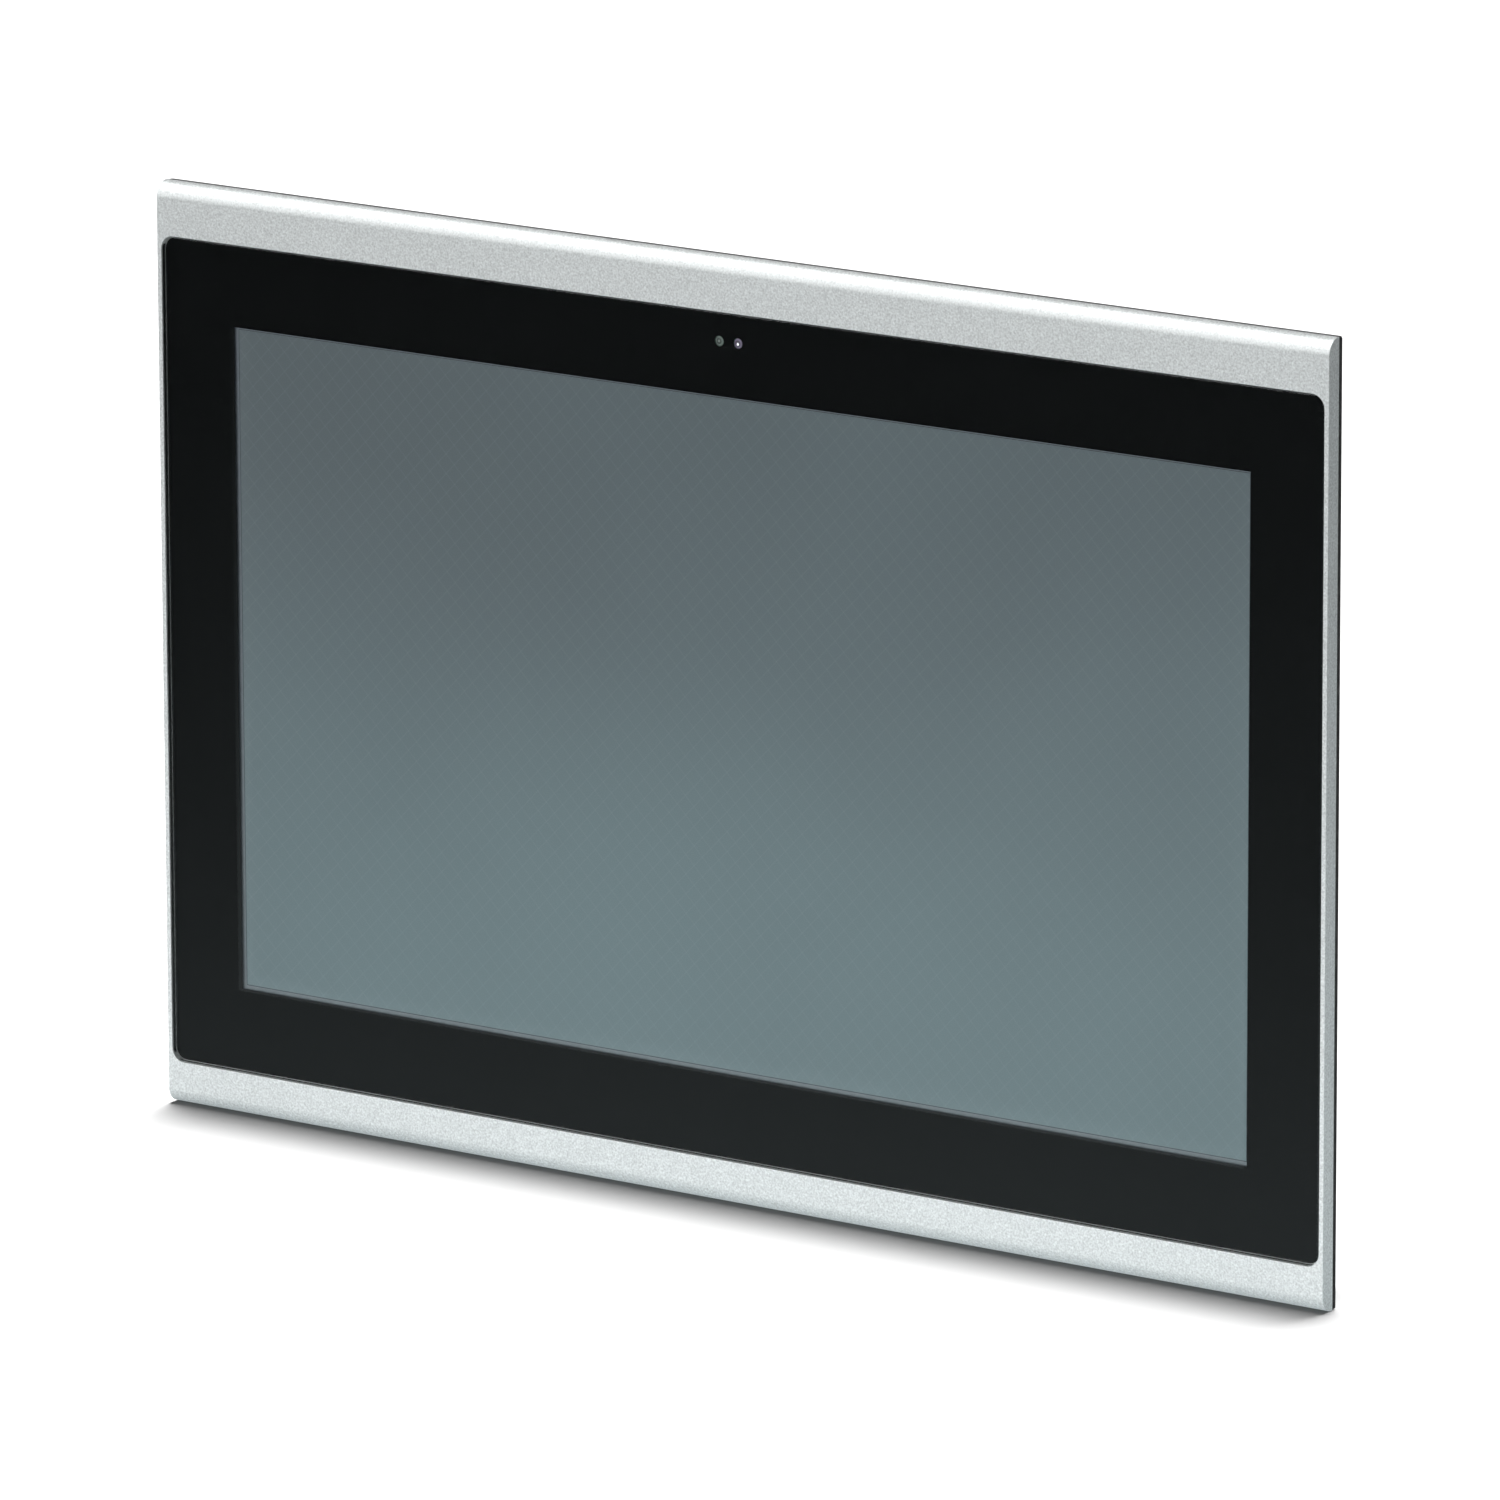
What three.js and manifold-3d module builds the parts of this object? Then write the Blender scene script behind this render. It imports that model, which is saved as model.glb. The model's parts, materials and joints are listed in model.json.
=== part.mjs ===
// HMI touch panel that is mounted from the front in a cut-out of a cabinet door.
// Millimetres. +X is right and +Z is up as the operator sees it, and the screen faces -Y.
// The origin is the centre of the plane where the gasket meets the door, which is y = 0.

import * as THREE from "three";
import { mergeVertices } from "three/addons/utils/BufferGeometryUtils.js";
import Module from "manifold-3d";

const wasm = await Module();
wasm.setup();

// ---------------------------------------------------------------- driving dimensions

// Front frame: an aluminium surround whose top and bottom edges are rounded along their whole length.
const FRAME_W = 474;
const FRAME_H = 325;
const FRAME_T = 6;
const FRAME_EDGE_R = 5.5;
const GASKET_T = 2;

// Cover glass with a printed border. It sits a little low in the frame.
const GLASS_W = 470;
const GLASS_H = 290.6;
const GLASS_T = 3;
const GLASS_R = 4.5;
const GLASS_GAP = 0.35;
const GLASS_Z = -1.5;
const PRINT_T = 0.2;
const TAPE_T = 0.3;
const WINDOW_W = 412.2;
const WINDOW_H = 232.8;
const WINDOW_Z = -1.3;

// Levels along Y, from the front to the rear.
const FRAME_REAR = -GASKET_T;
const FRONT = FRAME_REAR - FRAME_T;
const GLASS_REAR = FRONT + GLASS_T;
const PRINT_REAR = GLASS_REAR + PRINT_T;
const LEDGE = PRINT_REAR + TAPE_T;
const TOUCH_REAR = PRINT_REAR + 1.1;
const FOAM_REAR = TOUCH_REAR + 0.8;
const LIP_REAR = FOAM_REAR + 0.5;
const CELL_REAR = LIP_REAR + 1.6;
const GUIDE_REAR = CELL_REAR + 5;
const LCD_REAR = GUIDE_REAR + 1.2;
const CARRIER_REAR = LCD_REAR + 1.5;

// Display module for an 18.5 inch wide screen.
const LCD_W = 430.4;
const LCD_H = 254.6;
const LCD_WALL = 0.5;
const LEDGE_OPEN_W = 440;
const LEDGE_OPEN_H = 264;

// Status light and ambient light sensor, side by side above the window.
const DOT_X = 3.95;
const DOT_Z = 133.8;
const DOT_R = 1.8;

// Rear tray, which passes through the door's cut-out.
const TRAY_W = 445;
const TRAY_H = 296;
const TRAY_R = 3;
const WALL = 1.5;
const TRAY_REAR = 22;
const PLATE_FRONT = TRAY_REAR - WALL;
const CABLE_WAY = { w: 120, h: 60, z: 15 };

// Threaded posts that carry the tray and the display carrier on the frame.
const POST_R = 4;
const POST_Z = 139.5;
const POST_X = [-214, -105, 105, 214];

// Swing-out clamps. side is +1 on the top edge and -1 on the bottom edge,
// and turn is the direction along X in which the stowed lever points.
const CLAMPS = [
  { x: -160, side: 1, turn: 1 },
  { x: 48, side: 1, turn: 1 },
  { x: 160, side: 1, turn: -1 },
  { x: -160, side: -1, turn: 1 },
  { x: -48, side: -1, turn: -1 },
  { x: 160, side: -1, turn: -1 },
];
const CLAMP_Z = 140;
const CLAMP_TRAVEL = 6;
const LEVER_FRONT = 1.5 + CLAMP_TRAVEL;
const LEVER_T = 4;
const LEVER_LENGTH = 19;
const LEVER_HUB_R = 7;
const LEVER_HALF = 5;
const NECK_R = 4;
const SCREW_R = 2.5;
const POCKET_BACK = 8.5;
const POCKET_AHEAD = 21;
const POCKET_FLOOR = 131.5;

// Electronics case behind the tray, and the cover that closes it.
const CASE_W = 330;
const CASE_H = 210;
const CASE_REAR = 50;
const FLANGE = 8;
const COVER_REAR = CASE_REAR + WALL;
const CASE_FLOOR = -CASE_H / 2;
const CASE_INNER_FLOOR = CASE_FLOOR + WALL;

// Main board and what stands on it.
const BOARD_FRONT = 28;
const BOARD_REAR = 29.6;
const BOARD_W = 290;
const BOARD_LOW = -99.5;
const BOARD_HIGH = 65.5;
const CHIP = { x: 40, z: 5, size: 31, rear: 31.2 };

// Heat sink on the outside of the cover.
const SINK_W = 160;
const SINK_H = 130;
const SINK_BASE = 4;
const FIN_H = 12;
const FIN_T = 2;
const FIN_COUNT = 16;
const PEDESTAL = 34;

// Connectors in the case's floor, by their centre along X.
const MOUTH = CASE_FLOOR - 0.2;
const LAN_X = [-48, -26];
const LAN = { w: 16, h: 13.4, depth: 21, cavity: [11.9, 7.6, 15] };
const USB_X = [-1, 19];
const USB = { w: 14.4, h: 7.2, depth: 14, cavity: [12.6, 5.2, 11] };
const POWER_X = -95;
const POWER = { w: 18.4, h: 9.6, depth: 12.2, cavity: [16.6, 7.6, 9], pitch: 5.08 };
const POWER_Y = BOARD_REAR + POWER.h / 2;
const RESET = { x: 44, y: 33 };
const CARD = { x: 84, w: 28, h: 4.5, depth: 26, slot: [24.4, 2.6, 22] };
const FLAP = { x: 84, w: 38, front: 27.5, pivotY: 45.5, pivotZ: -107, t: 1.2, barrel: 1.6 };
const EARTH = { x: -130, y: 34 };
const HOLE_GAP = 0.3;

// ---------------------------------------------------------------- finishes

const paint = (color, metalness, roughness, extra = {}) =>
  new THREE.MeshStandardMaterial({ color, metalness, roughness, ...extra });

const ANODISED = paint(0xc6cdce, 0.85, 0.42);
const GLASS = paint(0x9fb4ba, 0, 0.05, { transparent: true, opacity: 0.35 });
const INK = paint(0x08090a, 0, 0.35);
const TAPE = paint(0x1b1b1c, 0, 0.8);
const TOUCH = paint(0x6c7d84, 0, 0.1, { transparent: true, opacity: 0.5 });
const FOAM = paint(0x26272a, 0, 0.95);
const RUBBER = paint(0x17181a, 0, 0.75);
const LCD_METAL = paint(0xa7abad, 0.8, 0.35);
const LCD_PANEL = paint(0x6f8187, 0, 0.25);
const ACRYLIC = paint(0xdfe8ea, 0, 0.15);
const ZINC = paint(0xaeb3b5, 0.75, 0.45);
const ALLOY = paint(0xb9bcbd, 0.85, 0.38);
const BOARD = paint(0x1f5a3c, 0, 0.55);
const CHIP_BLACK = paint(0x141516, 0, 0.5);
const PLATED = paint(0xc2c4c4, 0.9, 0.28);
const CONNECTOR = paint(0x18191b, 0, 0.6);
const PLUG_GREEN = paint(0x2f7d43, 0, 0.5);
const STEEL = paint(0x8f9496, 0.85, 0.35);
const BRASS = paint(0xc2a35a, 0.85, 0.35);
const LABEL = paint(0xd9dbdc, 0.3, 0.5);

// ---------------------------------------------------------------- solids

const TURN_TO_XZ = new THREE.Matrix4().set(1, 0, 0, 0, 0, 0, -1, 0, 0, 1, 0, 0, 0, 0, 0, 1);
const TURN_TO_YZ = new THREE.Matrix4().set(0, 0, 1, 0, 1, 0, 0, 0, 0, 1, 0, 0, 0, 0, 0, 1);

/** A closed three.js geometry as a manifold solid. */
function solid(geometry) {
  const bare = geometry.index ? geometry.toNonIndexed() : geometry.clone();
  bare.deleteAttribute("normal");
  bare.deleteAttribute("uv");
  const merged = mergeVertices(bare, 1e-4);
  const facets = new wasm.Mesh({
    numProp: 3,
    vertProperties: new Float32Array(merged.attributes.position.array),
    triVerts: new Uint32Array(merged.index.array),
  });
  return new wasm.Manifold(facets);
}

/** A box between two corners, each given as [x, y, z]. */
function box(low, high) {
  const size = high.map((v, i) => v - low[i]);
  const mid = high.map((v, i) => (v + low[i]) / 2);
  return solid(new THREE.BoxGeometry(...size).translate(...mid));
}

/** A cylinder along an axis, from a to b, at the other two coordinates u and v in X, Y, Z order. */
function rod(axis, radius, a, b, u, v, sides = 16) {
  const g = new THREE.CylinderGeometry(radius, radius, b - a, sides);
  const mid = (a + b) / 2;
  if (axis === "y") return solid(g.translate(u, mid, v));
  if (axis === "z") return solid(g.rotateX(Math.PI / 2).translate(u, v, mid));
  return solid(g.rotateZ(Math.PI / 2).translate(mid, u, v));
}

/** A rectangle in X and Z with rounded corners, about the point (x, z). */
function rectangle(w, h, r, x = 0, z = 0) {
  const s = new THREE.Shape();
  const [l, b] = [x - w / 2, z - h / 2];
  if (r <= 0) {
    s.moveTo(l, b).lineTo(l + w, b).lineTo(l + w, b + h).lineTo(l, b + h);
    return s;
  }
  s.moveTo(l + r, b);
  s.absarc(l + w - r, b + r, r, -Math.PI / 2, 0);
  s.absarc(l + w - r, b + h - r, r, 0, Math.PI / 2);
  s.absarc(l + r, b + h - r, r, Math.PI / 2, Math.PI);
  s.absarc(l + r, b + r, r, Math.PI, Math.PI * 1.5);
  return s;
}

/** An outline in X and Z made into a slab between two levels of Y. */
function slab(shape, front, rear, curveSegments = 2) {
  const g = new THREE.ExtrudeGeometry(shape, {
    depth: rear - front,
    bevelEnabled: false,
    curveSegments,
  });
  return solid(g.applyMatrix4(TURN_TO_XZ).translate(0, rear, 0));
}

/** An outline in Y and Z drawn out along X. */
function bar(shape, left, right, curveSegments = 4) {
  const g = new THREE.ExtrudeGeometry(shape, {
    depth: right - left,
    bevelEnabled: false,
    curveSegments,
  });
  return solid(g.applyMatrix4(TURN_TO_YZ).translate(left, 0, 0));
}

/** A rounded ring between an outer and an inner rectangle, each [w, h, r], about z. */
function ring(outer, inner, front, rear, z = 0) {
  const hole = slab(rectangle(...inner, 0, z), front - 1, rear + 1);
  return slab(rectangle(...outer, 0, z), front, rear).subtract(hole);
}

const join = (pieces) => pieces.reduce((whole, piece) => whole.add(piece));
const cut = (whole, pieces) => pieces.reduce((left, piece) => left.subtract(piece), whole);

// ---------------------------------------------------------------- assembly

const group = new THREE.Group();
group.name = "hmi_touch_panel";

/** Adds a solid to the group as one named node. */
function node(name, body, material) {
  const m = body.getMesh();
  const points = new Float32Array(m.numVert * 3);
  for (let i = 0; i < m.numVert; i++)
    points.set(m.vertProperties.subarray(i * m.numProp, i * m.numProp + 3), i * 3);
  const g = new THREE.BufferGeometry();
  g.setAttribute("position", new THREE.BufferAttribute(points, 3));
  g.setIndex(new THREE.BufferAttribute(new Uint32Array(m.triVerts), 1));
  g.computeVertexNormals();
  const mesh = new THREE.Mesh(g, material);
  mesh.name = name;
  group.add(mesh);
}

/** The frame's section: flat at the rear, with a quarter round at the top and bottom front edges. */
function frameSection() {
  const [r, h] = [FRAME_EDGE_R, FRAME_H / 2];
  const s = new THREE.Shape();
  s.moveTo(FRAME_REAR, -h);
  s.lineTo(FRAME_REAR, h);
  s.lineTo(FRONT + r, h);
  s.absarc(FRONT + r, h - r, r, Math.PI / 2, Math.PI);
  s.lineTo(FRONT, r - h);
  s.absarc(FRONT + r, r - h, r, Math.PI, Math.PI * 1.5);
  return s;
}

/** The frame with its glass pocket, the opening behind the display, and eight threaded posts. */
function buildFrame() {
  const [w, h] = [GLASS_W + 2 * GLASS_GAP, GLASS_H + 2 * GLASS_GAP];
  const pocket = slab(rectangle(w, h, GLASS_R + GLASS_GAP, 0, GLASS_Z), FRONT - 1, LEDGE);
  const opening = slab(
    rectangle(LEDGE_OPEN_W, LEDGE_OPEN_H, 3, 0, GLASS_Z),
    LEDGE - 1,
    FRAME_REAR + 1,
  );
  const top = GLASS_Z + LEDGE_OPEN_H / 2;
  const sensorWay = box([-10, LEDGE - 1, top - 1], [10, FRAME_REAR + 1, top + 8]);
  const plate = cut(bar(frameSection(), -FRAME_W / 2, FRAME_W / 2), [pocket, opening, sensorWay]);
  const spots = POST_X.flatMap((x) => [[x, POST_Z], [x, -POST_Z]]);
  const posts = spots.map(([x, z]) => rod("y", POST_R, FRAME_REAR, PLATE_FRONT, x, z));
  const threads = spots.map(([x, z]) => rod("y", 1.7, PLATE_FRONT - 8, PLATE_FRONT + 1, x, z, 12));
  node("front_frame", cut(join([plate, ...posts]), threads), ANODISED);
}

/** The glass, its printed border with two small windows, and the tape that holds it in the frame. */
function buildGlass() {
  const glass = slab(rectangle(GLASS_W, GLASS_H, GLASS_R, 0, GLASS_Z), FRONT, GLASS_REAR);
  node("cover_glass", glass, GLASS);

  const sheet = slab(rectangle(GLASS_W, GLASS_H, GLASS_R, 0, GLASS_Z), GLASS_REAR, PRINT_REAR);
  const view = slab(
    rectangle(WINDOW_W, WINDOW_H, 0, 0, WINDOW_Z),
    GLASS_REAR - 1,
    PRINT_REAR + 1,
  );
  const dots = [-DOT_X, DOT_X].map((x) =>
    rod("y", DOT_R + 0.2, GLASS_REAR - 1, PRINT_REAR + 1, x, DOT_Z),
  );
  node("border_print", cut(sheet, [view, ...dots]), INK);

  const tape = ring([GLASS_W - 1, GLASS_H - 1, 4], [442, 266, 3], PRINT_REAR, LEDGE, GLASS_Z);
  const top = GLASS_Z + 133;
  const way = box([-11, PRINT_REAR - 1, top - 1], [11, LEDGE + 1, top + 7.5]);
  node("glass_tape", tape.subtract(way), TAPE);
}

/** The touch sensor behind the glass and the display module behind that. */
function buildDisplay() {
  const z = GLASS_Z;
  node("touch_sensor", slab(rectangle(424, 246, 1, 0, z), PRINT_REAR, TOUCH_REAR), TOUCH);
  node("lcd_foam_gasket", ring([424, 246, 1], [414, 235, 1], TOUCH_REAR, FOAM_REAR, z), FOAM);

  const inner = [LCD_W - 2 * LCD_WALL, LCD_H - 2 * LCD_WALL, 1];
  const lip = ring([LCD_W, LCD_H, 1.5], [413, 234, 0], FOAM_REAR, LIP_REAR, z);
  const sides = ring([LCD_W, LCD_H, 1.5], inner, FOAM_REAR, LCD_REAR, z);
  node("lcd_bezel", lip.add(sides), LCD_METAL);

  node("lcd_cell", slab(rectangle(427, 251, 0.5, 0, z), LIP_REAR, CELL_REAR), LCD_PANEL);
  const low = z - LCD_H / 2 + 1.3;
  node("led_bar", box([-212, CELL_REAR, low], [212, GUIDE_REAR, low + 5]), BOARD);
  node("light_guide", box([-212, CELL_REAR, low + 5.6], [212, GUIDE_REAR, low + 251.6]), ACRYLIC);
  node("lcd_tray", slab(rectangle(428, 252.6, 1, 0, z), GUIDE_REAR, LCD_REAR), LCD_METAL);
}

/** The sheet that carries the display on the frame's posts, by an ear at each post. */
function buildCarrier() {
  const plate = box([-220, LCD_REAR, -129], [220, CARRIER_REAR, 127]);
  const ears = POST_X.flatMap((x) => [
    box([x - 6, LCD_REAR, 126], [x + 6, CARRIER_REAR, 145]),
    box([x - 6, LCD_REAR, -145], [x + 6, CARRIER_REAR, -128]),
  ]);
  const holes = POST_X.flatMap((x) =>
    [POST_Z, -POST_Z].map((z) => rod("y", POST_R + 0.3, LCD_REAR - 1, CARRIER_REAR + 1, x, z)),
  );
  const windows = [-150, 150].map((x) =>
    slab(rectangle(90, 70, 6, x, 60), LCD_REAR - 1, CARRIER_REAR + 1),
  );
  node("display_carrier", cut(join([plate, ...ears]), [...holes, ...windows]), ZINC);
}

/** The status light's pipe, the light sensor's pipe, and the small board behind them. */
function buildSensors() {
  node("status_light_pipe", rod("y", DOT_R, GLASS_REAR, FRAME_REAR, DOT_X, DOT_Z), ACRYLIC);
  node("light_sensor_pipe", rod("y", DOT_R, GLASS_REAR, FRAME_REAR, -DOT_X, DOT_Z), ACRYLIC);
  node("sensor_board", box([-13, FRAME_REAR, 130], [13, FRAME_REAR + 1, 146]), BOARD);
}

/** The sealing ring between the frame and the door. */
function buildGasket() {
  const outer = [FRAME_W - 0.6, FRAME_H - 0.6, 2];
  node("panel_gasket", ring(outer, [TRAY_W + 1.5, TRAY_H + 1.5, 3], FRAME_REAR, 0), RUBBER);
}

/** The span of one clamp's pocket: its two ends along X, widened by extra. */
function pocketSpan({ x, turn }, extra = 0) {
  const ends = [x - turn * (POCKET_BACK + extra), x + turn * (POCKET_AHEAD + extra)];
  return [Math.min(...ends), Math.max(...ends)];
}

/** A block over one clamp's pocket, from its floor out past the tray's edge. */
function pocketBlock(clamp, front, rear, extra = 0) {
  const [left, right] = pocketSpan(clamp, extra);
  const ends = [clamp.side * (POCKET_FLOOR - extra), clamp.side * (TRAY_H / 2 + 5)];
  const [low, high] = [Math.min(...ends), Math.max(...ends)];
  return box([left, front, low], [right, rear, high]);
}

/** The tray: walls that step inwards at each clamp, a rear plate, and standoffs for the board. */
function buildTray() {
  const pockets = CLAMPS.map((c) => pocketBlock(c, FRAME_REAR - 1, PLATE_FRONT));
  const grown = CLAMPS.map((c) => pocketBlock(c, FRAME_REAR - 2, TRAY_REAR + 2, WALL));
  const outside = slab(rectangle(TRAY_W, TRAY_H, TRAY_R), FRAME_REAR, TRAY_REAR);
  const inside = slab(
    rectangle(TRAY_W - 2 * WALL, TRAY_H - 2 * WALL, TRAY_R - WALL),
    FRAME_REAR - 1,
    PLATE_FRONT,
  );
  const shell = cut(outside, [cut(inside, grown), ...pockets]);
  const way = slab(
    rectangle(CABLE_WAY.w, CABLE_WAY.h, 5, 0, CABLE_WAY.z),
    PLATE_FRONT - 1,
    TRAY_REAR + 1,
  );
  const screwHoles = POST_X.flatMap((x) =>
    [POST_Z, -POST_Z].map((z) => rod("y", 2.25, PLATE_FRONT - 1, TRAY_REAR + 1, x, z, 12)),
  );
  const clampHoles = CLAMPS.map(({ x, side }) =>
    rod("y", SCREW_R + 0.3, PLATE_FRONT - 1, TRAY_REAR + 1, x, side * CLAMP_Z),
  );
  const standoffs = [-138, 0, 138].flatMap((x) =>
    [BOARD_LOW + 6, BOARD_HIGH - 6].map((z) => rod("y", 3, TRAY_REAR, BOARD_FRONT, x, z, 12)),
  );
  const tray = join([cut(shell, [way, ...screwHoles, ...clampHoles]), ...standoffs]);
  node("rear_tray", tray, ZINC);
}

/** A lever's outline about its pivot, pointing along +X. */
function leverShape() {
  const [hub, half, end, r] = [LEVER_HUB_R, LEVER_HALF, LEVER_LENGTH, 2];
  const s = new THREE.Shape();
  s.moveTo(0, hub);
  s.absarc(0, 0, hub, Math.PI / 2, Math.PI * 1.5);
  s.lineTo(7, -half);
  s.absarc(end - r, r - half, r, -Math.PI / 2, 0);
  s.absarc(end - r, half - r, r, 0, Math.PI / 2);
  s.lineTo(7, half);
  return s;
}

/** One clamp: a captive screw, a nut that it drives along Y, and a lever that swings on the nut. */
function buildClamp(clamp, number) {
  const { x, side, turn } = clamp;
  const z = side * CLAMP_Z;
  const head = TRAY_REAR + 0.3;
  const rear = LEVER_FRONT + LEVER_T;

  const screw = join([
    rod("y", SCREW_R, 0.6, head + 1, x, z),
    rod("y", 4.5, PLATE_FRONT - 2.2, PLATE_FRONT - 0.3, x, z),
    rod("y", 4.25, head, head + 4.5, x, z),
  ]);
  const socket = rod("y", 2.31, head + 2, head + 6, x, z, 6);
  node(`clamp_screw_${number}`, screw.subtract(socket), STEEL);

  const nut = join([
    rod("y", NECK_R, LEVER_FRONT, rear + 1, x, z),
    rod("y", 6.5, rear + 0.2, rear + 2, x, z),
  ]);
  const thread = rod("y", SCREW_R + 0.1, LEVER_FRONT - 1, rear + 3, x, z);
  node(`clamp_nut_${number}`, nut.subtract(thread), BRASS);

  const blank = slab(leverShape(), LEVER_FRONT, rear, 4);
  const bore = rod("y", NECK_R + 0.1, LEVER_FRONT - 1, rear + 1, 0, 0);
  const lever = blank.subtract(bore).scale([turn, 1, turn]).translate([x, 0, z]);
  node(`clamp_lever_${number}`, lever, ALLOY);
}

/** A row of upright slots through one wall of the case, for air. */
function slots(from, count, step, low, high, yLow, yHigh) {
  return Array.from({ length: count }, (_, i) => from + i * step).map((x) =>
    box([x - 1.5, yLow, low], [x + 1.5, yHigh, high]),
  );
}

/** The case's connector cut-outs, all in its floor. */
function floorCutouts() {
  const through = [CASE_FLOOR - 2, CASE_INNER_FLOOR + 1];
  const window = (x, w, y0, y1) =>
    box(
      [x - w / 2 - HOLE_GAP, y0 - HOLE_GAP, through[0]],
      [x + w / 2 + HOLE_GAP, y1 + HOLE_GAP, through[1]],
    );
  return [
    ...LAN_X.map((x) => window(x, LAN.w, BOARD_REAR, BOARD_REAR + LAN.h)),
    ...USB_X.map((x) => window(x, USB.w, BOARD_REAR, BOARD_REAR + USB.h)),
    window(POWER_X, POWER.w, BOARD_REAR, BOARD_REAR + POWER.h),
    window(CARD.x, CARD.w, BOARD_REAR, BOARD_REAR + CARD.h),
    rod("z", 2.1, ...through, RESET.x, RESET.y),
    rod("z", 2.7, ...through, EARTH.x, EARTH.y),
  ];
}

/** The case: four walls on a flange, open at the front and the rear, with the flap's two lugs. */
function buildCase() {
  const outer = [CASE_W, CASE_H, 2];
  const inner = [CASE_W - 2 * WALL, CASE_H - 2 * WALL, 0.5];
  const walls = ring(outer, inner, TRAY_REAR, CASE_REAR);
  const flangeSize = [CASE_W + 2 * FLANGE, CASE_H + 2 * FLANGE, 4];
  const flange = ring(flangeSize, inner, TRAY_REAR, TRAY_REAR + WALL);
  const lugs = [FLAP.x - FLAP.w / 2 - 3.3, FLAP.x + FLAP.w / 2 + 0.3].map((x) =>
    box([x, FLAP.pivotY - 1.9, FLAP.pivotZ - 1.9], [x + 3, FLAP.pivotY + 1.9, CASE_FLOOR + 0.5]),
  );
  const pinWay = rod("x", 0.7, FLAP.x - 30, FLAP.x + 30, FLAP.pivotY, FLAP.pivotZ, 12);
  const air = [
    ...slots(-112.5, 16, 15, CASE_H / 2 - 3, CASE_H / 2 + 2, 28, 44),
    ...slots(118, 5, 8, CASE_FLOOR - 2, CASE_FLOOR + 3, 30, 44),
  ];
  const body = join([walls, flange, ...lugs]);
  node("electronics_case", cut(body, [...floorCutouts(), ...air, pinWay]), ZINC);
}

/** The cover, with an opening for the heat sink's pedestal and a field of air slots. */
function buildCover() {
  const plate = slab(rectangle(CASE_W, CASE_H, 2), CASE_REAR, COVER_REAR);
  const side = PEDESTAL / 2 + 2;
  const way = box(
    [CHIP.x - side, CASE_REAR - 1, CHIP.z - side],
    [CHIP.x + side, COVER_REAR + 1, CHIP.z + side],
  );
  const air = [38, 30, 22, 14, 6, -2, -10, -18].map((z) =>
    box([-140, CASE_REAR - 1, z - 1.5], [-70, COVER_REAR + 1, z + 1.5]),
  );
  node("rear_cover", cut(plate, [way, ...air]), ZINC);
  const label = rectangle(72, 38, 2, -105, -62);
  node("nameplate", slab(label, COVER_REAR, COVER_REAR + 0.5), LABEL);
}

/** The finned heat sink, whose pedestal reaches through the cover to the processor. */
function buildHeatSink() {
  const [left, low] = [CHIP.x - SINK_W / 2, CHIP.z - SINK_H / 2];
  const top = COVER_REAR + SINK_BASE;
  const base = box([left, COVER_REAR, low], [left + SINK_W, top, low + SINK_H]);
  const half = PEDESTAL / 2;
  const pedestal = box(
    [CHIP.x - half, CHIP.rear, CHIP.z - half],
    [CHIP.x + half, COVER_REAR + 1, CHIP.z + half],
  );
  const step = (SINK_W - FIN_T) / (FIN_COUNT - 1);
  const fins = Array.from({ length: FIN_COUNT }, (_, i) => left + i * step).map((x) =>
    box([x, top - 1, low], [x + FIN_T, top + FIN_H, low + SINK_H]),
  );
  node("heat_sink", join([base, pedestal, ...fins]), ALLOY);
}

/** The main board with its processor and coin cell, and the two small boards on the carrier. */
function buildBoards() {
  const half = BOARD_W / 2;
  node(
    "main_board",
    box([-half, BOARD_FRONT, BOARD_LOW], [half, BOARD_REAR, BOARD_HIGH]),
    BOARD,
  );
  const c = CHIP.size / 2;
  node(
    "processor",
    box([CHIP.x - c, BOARD_REAR, CHIP.z - c], [CHIP.x + c, CHIP.rear, CHIP.z + c]),
    CHIP_BLACK,
  );
  const cell = { x: -95, z: 20 };
  const holder = box([cell.x - 12, BOARD_REAR, cell.z - 12], [cell.x + 12, 33.2, cell.z + 12]);
  const well = rod("y", 10.4, BOARD_REAR + 1, 34, cell.x, cell.z, 24);
  node("coin_cell_holder", holder.subtract(well), CONNECTOR);
  node("coin_cell", rod("y", 10, BOARD_REAR + 1, 33.8, cell.x, cell.z, 24), PLATED);
  node(
    "backlight_driver",
    box([-150, CARRIER_REAR, -60], [-40, CARRIER_REAR + 1.2, -28]),
    BOARD,
  );
  node("touch_controller", box([60, CARRIER_REAR, -40], [130, CARRIER_REAR + 1.2, -14]), BOARD);

  const [start, bend] = [CARRIER_REAR, 20];
  const ribbon = new THREE.Shape();
  ribbon.moveTo(start, -5).lineTo(start + 0.4, -5).lineTo(start + 0.4, bend);
  ribbon.lineTo(BOARD_FRONT, bend).lineTo(BOARD_FRONT, bend + 18);
  ribbon.lineTo(BOARD_FRONT - 0.4, bend + 18).lineTo(BOARD_FRONT - 0.4, bend + 0.4);
  ribbon.lineTo(start, bend + 0.4);
  node("display_ribbon", bar(ribbon, -15, 15), TAPE);
}

/** A connector shell on the board, open at its mouth in the case's floor. */
function shell(x, { w, h, depth, cavity }, y = BOARD_REAR) {
  const [cw, ch, cd] = cavity;
  const mid = y + h / 2;
  const body = box([x - w / 2, y, MOUTH], [x + w / 2, y + h, MOUTH + depth]);
  const hollow = box(
    [x - cw / 2, mid - ch / 2, MOUTH - 1],
    [x + cw / 2, mid + ch / 2, MOUTH + cd],
  );
  return body.subtract(hollow);
}

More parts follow.
